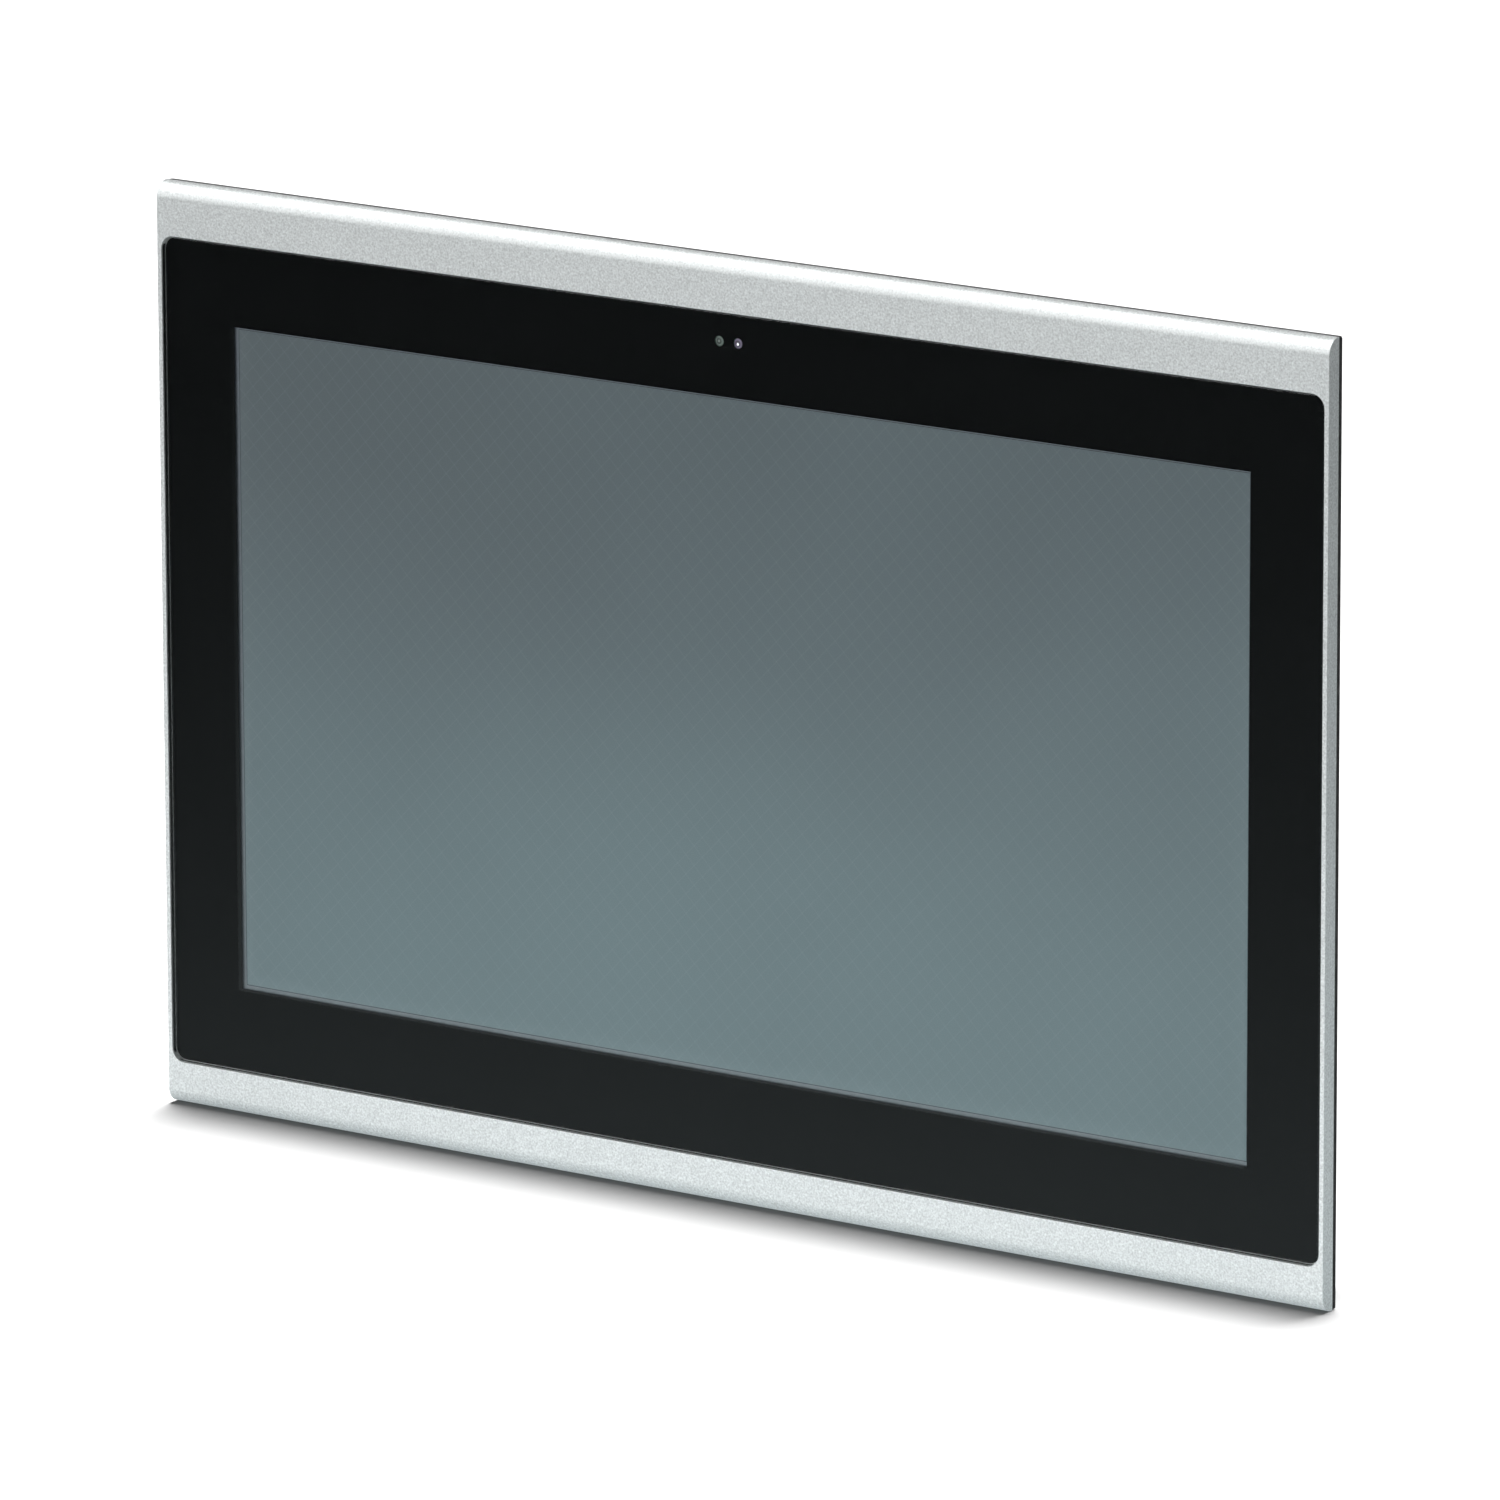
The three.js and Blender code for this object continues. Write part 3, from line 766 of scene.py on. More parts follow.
CONNECTOR = Moulded("black_moulding", Slot.CONNECTOR, (0.018, 0.018, 0.019), 0.52)
GREEN = Moulded("green_moulding", Slot.GREEN, (0.028, 0.19, 0.06), 0.45)
LABEL = Film("blank_label", Slot.LABEL)
LABEL_LINES = Ink("label_lines", Slot.LABEL, (0.07, 0.075, 0.08), 0.5)
LAMP_GREEN = Moulded("green_lamp", Slot.CONNECTOR, (0.10, 0.30, 0.09), 0.22, 600, 0.05)
LAMP_AMBER = Moulded("amber_lamp", Slot.CONNECTOR, (0.42, 0.24, 0.05), 0.22, 600, 0.05)
CAN = Metal("capacitor_can", Slot.PLATED, (0.62, 0.63, 0.64), 0.85, 0.3, 1700, (1, 0.05, 1))


# ------------------------------------------------------------------ forms


def arc(centre: Spot, radius: float, start: float, end: float, steps: int = 10) -> Loop:
    """Points on an arc.

    Args:
        centre: the arc's centre.
        radius: its radius.
        start: the angle of the first point, in degrees.
        end: the angle of the last point, in degrees.
        steps: how many chords it has.

    Returns:
        The points, both ends among them.
    """
    angles = [math.radians(start + (end - start) * i / steps) for i in range(steps + 1)]
    return [(centre[0] + radius * math.cos(a), centre[1] + radius * math.sin(a)) for a in angles]


def circle(centre: Spot, radius: float, steps: int = 32) -> Loop:
    """A closed circle."""
    return arc(centre, radius, 0, 360, steps)[:-1]


def rounded(low: Spot, high: Spot, radius: float, steps: int = 10) -> Loop:
    """A rectangle with rounded corners.

    Args:
        low: its low corner.
        high: its high corner.
        radius: the radius of its corners.
        steps: how many chords each corner has.

    Returns:
        The closed outline.
    """
    if radius <= 0:
        return [low, (high[0], low[1]), high, (low[0], high[1])]
    left, right = low[0] + radius, high[0] - radius
    bottom, top = low[1] + radius, high[1] - radius
    corners = [(right, top), (left, top), (left, bottom), (right, bottom)]
    outline: Loop = []
    for i, corner in enumerate(corners):
        outline += arc(corner, radius, 90 * i, 90 * i + 90, steps)
    return outline


def about(width: float, height: float, radius: float, centre: Spot = (0, 0)) -> Loop:
    """A rounded rectangle about a centre."""
    x, z = centre
    return rounded((x - width / 2, z - height / 2), (x + width / 2, z + height / 2), radius)


def linked(name: str, data: bpy.types.ID) -> bpy.types.Object:
    """A new object in the scene.

    Args:
        name: its name.
        data: its mesh, light or camera.

    Returns:
        The object.
    """
    made = bpy.data.objects.new(name, data)
    bpy.context.scene.collection.objects.link(made)
    return made


class Form:
    """A mesh under construction, in millimetres in the panel's frame."""

    def __init__(self) -> None:
        """Starts empty."""
        self.bm = bmesh.new()

    def _take(self, part: bmesh.types.BMesh) -> "Form":
        """Adds a finished part and frees it.

        Args:
            part: the part.

        Returns:
            This form.
        """
        mesh = bpy.data.meshes.new("part")
        part.to_mesh(mesh)
        part.free()
        return self._take_mesh(mesh)

    def _take_mesh(self, mesh: bpy.types.Mesh) -> "Form":
        """Adds a mesh and removes it.

        Args:
            mesh: the mesh.

        Returns:
            This form.
        """
        self.bm.from_mesh(mesh)
        bpy.data.meshes.remove(mesh)
        return self

    def block(self, low: Point, high: Point, edge: float = 0.2) -> "Form":
        """Adds a block whose edges are eased.

        Args:
            low: its lowest corner.
            high: its highest corner.
            edge: the radius of its edges.

        Returns:
            This form.
        """
        part = bmesh.new()
        size = Vector(high) - Vector(low)
        middle = (Vector(high) + Vector(low)) / 2
        shape = Matrix.Translation(middle) @ Matrix.Diagonal((*size, 1))
        bmesh.ops.create_cube(part, size=1, matrix=shape)
        if edge:
            bmesh.ops.bevel(
                part, geom=part.edges[:], offset=edge, segments=2, profile=0.5, affect="EDGES"
            )
        return self._take(part)

    def turned(
        self,
        profile: Sequence[Spot],
        centre: Spot,
        axis: Axis = Axis.Y,
        sides: int = 40,
        ring: bool = False,
    ) -> "Form":
        """Adds a turned part.

        Args:
            profile: pairs of a radius and a place along the axis.
            centre: where the axis stands, in the plane across it.
            axis: the direction of the axis.
            sides: how many sides it has.
            ring: whether the profile closes on itself, as for a washer.

        Returns:
            This form.
        """
        part = bmesh.new()
        rings = []
        for radius, along in profile:
            spots = circle(centre, radius, sides) if radius > 1e-6 else [centre]
            rings.append([part.verts.new(axis.point(a, b, along)) for a, b in spots])
        pairs = list(zip(rings, rings[1:])) + ([(rings[-1], rings[0])] if ring else [])
        for first, second in pairs:
            for i in range(sides):
                j = (i + 1) % sides
                corners = [first[i % len(first)], first[j % len(first)]]
                corners += [second[j % len(second)], second[i % len(second)]]
                part.faces.new(list(dict.fromkeys(corners)))
        if not ring:
            for end in (rings[0], rings[-1]):
                if len(end) > 1:
                    part.faces.new(end)
        bmesh.ops.recalc_face_normals(part, faces=part.faces[:])
        return self._take(part)

    def plate(
        self,
        loops: Sequence[Loop],
        start: float,
        end: float,
        axis: Axis = Axis.Y,
        edge: float = 0.2,
    ) -> "Form":
        """Adds a plate with holes, whose edges are eased.

        Args:
            loops: its outline, then its holes.
            start: where it starts along the axis.
            end: where it ends along the axis.
            axis: the direction across the plate.
            edge: the radius of its edges.

        Returns:
            This form.
        """
        curve = bpy.data.curves.new("outline", "CURVE")
        curve.dimensions = "2D"
        curve.fill_mode = "BOTH"
        curve.extrude = (end - start) / 2 - edge
        curve.bevel_depth = edge
        curve.bevel_resolution = 1
        curve.offset = -edge
        for loop in loops:
            spline = curve.splines.new("POLY")
            spline.points.add(len(loop) - 1)
            spline.points.foreach_set("co", [c for a, b in loop for c in (a, b, 0, 1)])
            spline.use_cyclic_u = True
        holder = bpy.data.objects.new("outline", curve)
        mesh = bpy.data.meshes.new_from_object(holder)
        bpy.data.objects.remove(holder)
        bpy.data.curves.remove(curve)
        u, v = Vector(axis.value[0]), Vector(axis.value[1])
        turn = Matrix((u, v, u.cross(v))).transposed().to_4x4()
        mesh.transform(Matrix.Translation(axis.point(0, 0, (start + end) / 2)) @ turn)
        part = bmesh.new()
        part.from_mesh(mesh)
        bpy.data.meshes.remove(mesh)
        bmesh.ops.remove_doubles(part, verts=part.verts, dist=1e-4)
        bmesh.ops.recalc_face_normals(part, faces=part.faces[:])
        return self._take(part)

    def drawn(self, profile: Loop, left: float, right: float) -> "Form":
        """Adds an outline across X, drawn out along X.

        Args:
            profile: the closed outline in Y and Z.
            left: where it starts.
            right: where it ends.

        Returns:
            This form.
        """
        part = bmesh.new()
        ends = [[part.verts.new((x, y, z)) for y, z in profile] for x in (left, right)]
        for end in ends:
            part.faces.new(end)
        for i in range(len(profile)):
            j = (i + 1) % len(profile)
            part.faces.new([ends[0][i], ends[0][j], ends[1][j], ends[1][i]])
        bmesh.ops.recalc_face_normals(part, faces=part.faces[:])
        return self._take(part)

    def node(self, *names: str) -> "Form":
        """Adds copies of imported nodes, with their flat faces made whole.

        Args:
            names: the nodes.

        Returns:
            This form.
        """
        for name in names:
            part = bmesh.new()
            part.from_mesh(frame["nodes"][name].data)
            bmesh.ops.scale(part, vec=(1 / MM,) * 3, verts=part.verts[:])
            bmesh.ops.remove_doubles(part, verts=part.verts[:], dist=0.002)
            bmesh.ops.dissolve_limit(
                part, angle_limit=0.012, verts=part.verts[:], edges=part.edges[:]
            )
            self._take(part)
        return self

    def eased(self, width: float, angle: float = 30) -> "Form":
        """Eases the sharp edges, apart from those beside very short ones.

        Args:
            width: the width of the easing.
            angle: the least angle between faces that counts as sharp, in degrees.

        Returns:
            This form.
        """
        short = {v for e in self.bm.edges if e.calc_length() < 2.2 * width for v in e.verts}
        edges = [
            e
            for e in self.bm.edges
            if len(e.link_faces) == 2
            and e.calc_face_angle(0) > math.radians(angle)
            and not short.intersection(e.verts)
        ]
        bmesh.ops.bevel(
            self.bm,
            geom=edges,
            offset=width,
            segments=2,
            profile=0.5,
            affect="EDGES",
            clamp_overlap=True,
        )
        return self

    def stamped(self, other: "Form", places: Iterable[Matrix]) -> "Form":
        """Adds a copy of another form at each place.

        Args:
            other: the form to copy, which is kept.
            places: where each copy goes.

        Returns:
            This form.
        """
        for place in places:
            mesh = bpy.data.meshes.new("copy")
            other.bm.to_mesh(mesh)
            mesh.transform(place)
            self._take_mesh(mesh)
        return self

    def _object(self, name: str) -> bpy.types.Object:
        """The form as an object in the scene.

        Args:
            name: the object's name.

        Returns:
            The object.
        """
        mesh = bpy.data.meshes.new(name)
        self.bm.to_mesh(mesh)
        return linked(name, mesh)

    def cut(self, tool: "Form") -> "Form":
        """Takes another form away from this one.

        Args:
            tool: the form to take away.

        Returns:
            This form.
        """
        body, cutter = self._object("body"), tool._object("cutter")
        modifier = body.modifiers.new("cut", "BOOLEAN")
        modifier.operation = "DIFFERENCE"
        modifier.solver = "EXACT"
        modifier.object = cutter
        shown = body.evaluated_get(bpy.context.evaluated_depsgraph_get())
        mesh = bpy.data.meshes.new_from_object(shown)
        for made in (body, cutter):
            old = made.data
            bpy.data.objects.remove(made)
            bpy.data.meshes.remove(old)
        self.bm.clear()
        self._take_mesh(mesh)
        bmesh.ops.remove_doubles(self.bm, verts=self.bm.verts[:], dist=0.001)
        return self

    def piece(
        self,
        name: str,
        finish: Finish,
        body: str = "panel",
        replaces: Sequence[str] = (),
        smooth: float = 35,
    ) -> bpy.types.Object:
        """Makes the form a piece of the panel.

        Args:
            name: the piece's name.
            finish: its finish.
            body: the moving body that it rides on.
            replaces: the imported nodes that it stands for.
            smooth: the least angle between faces that stays a crease, in degrees.

        Returns:
            The piece.
        """
        bmesh.ops.scale(self.bm, vec=(MM,) * 3, verts=self.bm.verts[:])
        made = self._object(name)
        self.bm.free()
        made.data.shade_smooth()
        made.data.set_sharp_from_angle(angle=math.radians(smooth))
        made.data.materials.append(finish.material())
        made.modifiers.new("even_shading", "WEIGHTED_NORMAL").keep_sharp = True
        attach(made, body)
        if replaces:
            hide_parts(*replaces)
        LOG.info("%s on %s, %d faces", name, body, len(made.data.polygons))
        return made


def reworked(node: str, easing: float, name: str, finish: Finish, body: str = "panel") -> None:
    """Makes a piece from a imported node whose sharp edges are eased.

    Args:
        node: the node.
        easing: the width of the easing.
        name: the piece's name.
        finish: its finish.
        body: the moving body that it rides on.
    """
    Form().node(node).eased(easing).piece(name, finish, body, [node])


def dress(finish: Finish, *names: str) -> None:
    """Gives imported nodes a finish.

    Args:
        finish: the finish.
        names: the nodes.
    """
    for name in names:
        for slot in frame["nodes"][name].material_slots:
            slot.material = finish.material()
        LOG.info("%s dressed in %s", name, finish.name)


def spot(node: str, axis: Axis = Axis.Y) -> Spot:
    """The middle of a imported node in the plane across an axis, in millimetres.

    Args:
        node: the node's name.
        axis: the axis.

    Returns:
        The two places across the axis.
    """
    low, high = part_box(node)
    middle = (low + high) / 2 / MM
    return tuple(middle.dot(Vector(d)) for d in axis.value[:2])


def reach(node: str, axis: Axis = Axis.Y) -> Spot:
    """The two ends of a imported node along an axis, in millimetres.

    Args:
        node: the node's name.
        axis: the axis.

    Returns:
        The low and the high end.
    """
    low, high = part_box(node)
    along = Vector(axis.value[2])
    return low.dot(along) / MM, high.dot(along) / MM


def at(x: float, y: float, z: float, turn: float = 0) -> Matrix:
    """A place for a copy.

    Args:
        x: how far it moves along X.
        y: how far it moves along Y.
        z: how far it moves along Z.
        turn: how far it turns about Y first, in degrees.

    Returns:
        The move.
    """
    return Matrix.Translation((x, y, z)) @ Matrix.Rotation(math.radians(turn), 4, "Y")


# ------------------------------------------------------------------ small hardware


@dataclass(frozen=True)
class PanScrew:
    """A pan-head screw with a cross recess, whose head looks along +Y."""

    radius: float = 3.6
    height: float = 2.3
    recess: float = 2.1

    def form(self) -> Form:
        """The head, standing on the plane y = 0.

        Returns:
            The head's form.
        """
        r, h = self.radius, self.height
        dome = [(0, -0.3), (r * 0.98, -0.3), (r, 0), (r, h * 0.35)]
        dome += [(r * math.cos(a), h * 0.35 + h * 0.65 * math.sin(a)) for a in (0.35, 0.7, 1.05)]
        dome += [(r * 0.18, h), (0, h)]
        head = Form().turned(dome, (0, 0))
        wing, arm = self.recess * 0.24, self.recess
        for x, z in ((arm, wing), (wing, arm)):
            head.cut(Form().block((-x, h * 0.3, -z), (x, h + 1, z), 0))
        return head


def threaded(radius: float, start: float, end: float, pitch: float = 0.8) -> Profile:
    """The profile of a threaded shank.

    Args:
        radius: the thread's outer radius.
        start: where it starts along its axis.
        end: where it ends along its axis.
        pitch: the thread's pitch.

    Returns:
        Pairs of a radius and a place along the axis.
    """
    root, crest, lead = radius - 0.35, 0.1, 0.4
    profile = [(0.0, start), (radius - 0.5, start), (root, start + lead)]
    for i in range(int((end - start - 2 * lead) / pitch)):
        foot = start + lead + i * pitch
        profile += [(root, foot + crest), (radius, foot + pitch / 2)]
        profile += [(radius, foot + pitch / 2 + crest), (root, foot + pitch)]
    return profile + [(root, end), (0.0, end)]


# ------------------------------------------------------------------ the front


@dataclass
class FrontFrame:
    """The aluminium surround, rounded along its top and bottom front edges."""

    half_width: float = 237.0
    half_height: float = 162.5
    front: float = -8.0
    rear: float = -2.0
    edge_radius: float = 5.5
    glass_centre: float = -1.5
    pocket: Spot = (470.7, 291.3)
    pocket_radius: float = 4.85
    ledge: float = -4.5
    opening: Spot = (440.0, 264.0)
    pipe_slot: float = 10.0
    post_radius: float = 4.0
    post_rear: float = 20.4
    post_bore: Spot = (1.7, 12.5)
    posts_x: tuple[float, ...] = (-214, -105, 105, 214)
    post_z: float = 139.5

    def profile(self) -> Loop:
        """The surround's section in Y and Z.

        Returns:
            The closed outline.
        """
        r, h = self.edge_radius, self.half_height
        line = [(self.rear, -h), (self.rear, h)]
        line += arc((self.front + r, h - r), r, 90, 180, 22)
        line += arc((self.front + r, r - h), r, 180, 270, 22)
        return line

    def build(self) -> None:
        """Makes the surround with its posts."""
        z = self.glass_centre
        form = Form().drawn(self.profile(), -self.half_width, self.half_width)
        pocket = about(*self.pocket, self.pocket_radius, (0, z))
        form.cut(Form().plate([pocket], self.front - 3, self.ledge, edge=0))
        opening = about(*self.opening, 3, (0, z))
        form.cut(Form().plate([opening], self.ledge - 2, self.rear + 2, edge=0))
        top = z + self.opening[1] / 2
        x = self.pipe_slot
        form.cut(Form().block((-x, self.ledge - 2, top - 4), (x, self.rear + 2, top + 8), 0))
        form.eased(0.22)
        r, end = self.post_radius, self.post_rear
        bore, floor = self.post_bore
        shape = [(r, self.rear - 0.5), (r, end - 0.5), (r - 0.5, end)]
        shape += [(bore, end), (bore, floor), (0, floor)]
        for x in self.posts_x:
            for side in (-1, 1):
                form.turned(shape, (x, side * self.post_z), sides=28)
        form.piece("front_surround", ANODISED, replaces=["front_frame"])


@dataclass
class GlassFront:
    """The cover glass, its border print, and the two small windows above the display.

    The print and what is behind it stand as near the front as they look through the glass.
    """

    size: Spot = (470.0, 290.6)
    corner: float = 4.5
    centre: float = -1.5
    front: float = -8.0
    print_front: float = -6.2
    window: Spot = (412.2, 232.8)
    window_centre: float = -1.3
    dot_x: float = 3.8
    dot_z: float = 133.8
    dot_radius: float = 1.88

    def build(self) -> None:
        """Makes the glass, the print, the tape and the two lenses."""
        outline = about(*self.size, self.corner, (0, self.centre))
        glass = Form().plate([outline], self.front, self.print_front - 0.02, edge=0.28)
        pane = glass.piece("glass_pane", GLASS, replaces=["cover_glass"])
        pane.data.materials.append(BONDED.material())
        for face in pane.data.polygons:
            if face.normal.y > 0.5:
                face.material_index = 1

        window = about(*self.window, 0, (0, self.window_centre))
        dots = [circle((x, self.dot_z), self.dot_radius) for x in (-self.dot_x, self.dot_x)]
        sheet = about(self.size[0] - 0.5, self.size[1] - 0.5, self.corner - 0.2, (0, self.centre))
        rear = self.print_front + 0.12
        ink = Form().plate([sheet, window, *dots], self.print_front, rear, edge=0.01)
        ink.piece("printed_border", PRINT, replaces=["border_print"])
        dress(TAPE, "glass_tape")
        self.lens("sensor_lens", -self.dot_x, (0.085, 0.108, 0.098), (0.14, 0.165, 0.155), False)
        self.lens("status_lens", self.dot_x, (0.115, 0.10, 0.145), (0.24, 0.22, 0.28), True)

    def lens(self, name: str, x: float, rim: Colour, middle: Colour, lit: bool) -> None:
        """Makes one small window and what it shows.

        Args:
            name: the piece's name.
            x: its place across the panel.
            rim: its colour near the rim.
            middle: its colour in the middle.
            lit: whether the end of a light pipe shows in it.
        """
        face = self.print_front + 0.16
        r = self.dot_radius - 0.08
        shape = [(0, face + 4), (r, face + 4), (r, face + 0.3), (r - 0.2, face + 0.08)]
        shape += [(r * 0.62, face + 0.12), (r * 0.5, face + 0.02), (0, face)]
        old = "status_light_pipe" if lit else "light_sensor_pipe"
        finish = Lens(name, Slot.ACRYLIC, rim, middle, ((x - 0.2) * MM, self.dot_z * MM))
        Form().turned(shape, (x, self.dot_z)).piece(name, finish, replaces=[old])
        if lit:
            # The pipe's tip carries the painted glow of its finish.
            tip = [(0, face + 0.4), (0.42, face + 0.4), (0.42, face - 0.01), (0.3, face - 0.02)]
            tip += [(0, face - 0.03)]
            pipe = Form().turned(tip, (x - 0.15, self.dot_z - 0.3), sides=24)
            pipe.piece("status_pipe_tip", GLOWING_PIPE_END)


@dataclass
class Display:
    """The display module behind the glass."""

    front: float = -4.65
    lit: Spot = (409.8, 230.4)
    lit_centre: float = -1.03
    cell: Spot = (416.0, 238.0)
    cell_rear: float = -2.95
    foam_outer: Spot = (424.0, 246.0)
    foam_inner: Spot = (417.0, 239.0)
    foam_ends: Spot = (-6.0, -4.2)
    centre: float = -1.5

    def build(self) -> None:
        """Makes the visible surface, and dresses what is behind it."""
        z = self.lit_centre
        cell = about(*self.cell, 0.5, (0, self.centre))
        face = Form().plate([cell], self.front, self.cell_rear, edge=0.1)
        face.piece("screen_margin", MARGIN, replaces=["lcd_cell", "touch_sensor"])
        active = about(*self.lit, 0, (0, z))
        lit = Form().plate([active], self.front - 0.03, self.front + 0.1, edge=0.01)
        lit.piece("screen_active", SCREEN)
        ring = [about(self.lit[0] + 0.5, self.lit[1] + 0.5, 0.1, (0, z)), active]
        line = Form().plate(ring, self.front - 0.02, self.front + 0.1, edge=0.005)
        line.piece("screen_outline", BLACK_LINE)
        loops = [about(*size, 1, (0, self.centre)) for size in (self.foam_outer, self.foam_inner)]
        foam = Form().plate(loops, *self.foam_ends, edge=0.2)
        foam.piece("foam_ring", FOAM, replaces=["lcd_foam_gasket"])
        dress(DISPLAY_METAL, "lcd_bezel", "lcd_tray")
        dress(ZINC, "display_carrier")
        dress(CLEAR, "light_guide")
        dress(CIRCUIT, "led_bar", "sensor_board", "backlight_driver", "touch_controller")
        dress(RIBBON, "display_ribbon")


@dataclass
class Seal:
    """The sealing ring between the surround and the door."""

    outer: Spot = (473.9, 324.9)
    inner: Spot = (446.5, 297.5)
    thickness: float = 2.0

    def build(self) -> None:
        """Makes the ring with its rounded lips."""
        loops = [about(*self.outer, 0.8), about(*self.inner, 3)]
        ring = Form().plate(loops, -self.thickness, 0, edge=0.12)
        ring.piece("sealing_ring", RUBBER, replaces=["panel_gasket"])


# ------------------------------------------------------------------ the mounting


@dataclass
class RearTray:
    """The tray that passes through the door, and the screws that hold it."""

    plate_rear: float = 22.0
    posts_x: tuple[float, ...] = (-214, -105, 105, 214)
    post_z: float = 139.5

    def build(self) -> None:
        """Makes the tray and its eight screws."""
        reworked("rear_tray", 0.4, "folded_tray", ZINC_DARK)
        screw = PanScrew().form()
        places = [
            at(x, self.plate_rear, side * self.post_z, 37 * i + 11 * side)
            for i, x in enumerate(self.posts_x)
            for side in (-1, 1)
        ]
        Form().stamped(screw, places).piece("tray_screws", STEEL)


@dataclass
class SwingClamp:
    """One clamp: a captive screw, the nut that it drives, and the lever on the nut."""

    number: int
    neck: float = 4.0
    bore: float = 4.1
    hub: float = 7.0
    half: float = 5.0
    length: float = 19.0
    tip: float = 2.0
    waist: float = 7.0
    fillet: float = 2.5
    shank: float = 2.5
    head: Spot = (4.25, 4.5)
    knurls: int = 6
    socket: Spot = (2.31, 2.5)
    centre: Spot = field(init=False)
    turn: int = field(init=False)

    def __post_init__(self) -> None:
        """Reads the clamp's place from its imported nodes."""
        self.centre = spot(f"clamp_screw_{self.number}")
        self.turn = 1 if spot(f"clamp_lever_{self.number}")[0] > self.centre[0] else -1

    def build(self) -> None:
        """Makes the three parts, each on its own body."""
        self.build_screw()
        self.build_nut()
        self.build_lever()

    def build_screw(self) -> None:
        """A threaded shank with a collar and a socket head."""
        name = f"clamp_screw_{self.number}"
        start, end = reach(name)
        r, (wide, tall), (across, deep) = self.shank, self.head, self.socket
        head, groove = end - tall, wide - 0.13
        shape = threaded(r, start, 18.2)[:-1]
        shape += [(r, 18.3), (4.2, 18.3), (4.5, 18.6), (4.5, 19.9), (4.2, 20.2), (r, 20.2)]
        shape += [(r, head), (wide - 0.25, head), (wide, head + 0.25)]
        for i in range(self.knurls):
            foot = head + 0.45 + i * 0.55
            shape += [(wide, foot), (groove, foot + 0.12), (groove, foot + 0.36)]
            shape += [(wide, foot + 0.48)]
        shape += [(wide, end - 0.4), (wide - 0.35, end), (0, end)]
        body = Form().turned(shape, self.centre, sides=36)
        body.cut(Form().plate([circle(self.centre, across, 6)], end - deep, end + 2, edge=0))
        body.piece(f"socket_screw_{self.number}", STEEL, name, [name])

    def build_nut(self) -> None:
        """A turned nut with a flange that holds the lever."""
        name = f"clamp_nut_{self.number}"
        start, end = reach(name)
        inner = 2.6
        shape = [(inner + 0.3, start), (self.neck - 0.3, start), (self.neck, start + 0.3)]
        shape += [(self.neck, end - 1.8), (6.2, end - 1.8), (6.5, end - 1.5), (6.5, end - 0.3)]
        shape += [(6.2, end), (inner + 0.4, end), (inner, end - 0.4), (inner, start + 0.3)]
        nut = Form().turned(shape, self.centre, ring=True)
        nut.piece(f"flanged_nut_{self.number}", BRASS, name, [name])

    def build_lever(self) -> None:
        """A cast lever with a grooved tip."""
        name = f"clamp_lever_{self.number}"
        start, end = reach(name)
        r, half, f = self.tip, self.half, self.fillet
        outline = arc((0, 0), self.hub, 90, 270, 24)
        outline += arc((self.waist + f, -half - f), f, 125, 90, 4)
        outline += arc((self.length - r, r - half), r, -90, 0, 8)
        outline += arc((self.length - r, half - r), r, 0, 90, 8)
        outline += arc((self.waist + f, half + f), f, 270, 235, 4)
        lever = Form().plate([outline, circle((0, 0), self.bore)], start, end, edge=0.45)
        grooves = Form()
        for i in range(4):
            x = self.length - 6.6 + i * 1.5
            grooves.block((x, start - 1, -half - 1), (x + 0.6, start + 0.35, half + 1), 0)
        lever.cut(grooves)
        placed = Form().stamped(lever, [at(self.centre[0], 0, self.centre[1], 90 - 90 * self.turn)])
        placed.piece(f"cast_lever_{self.number}", CAST, name, [name])


# ------------------------------------------------------------------ the housing


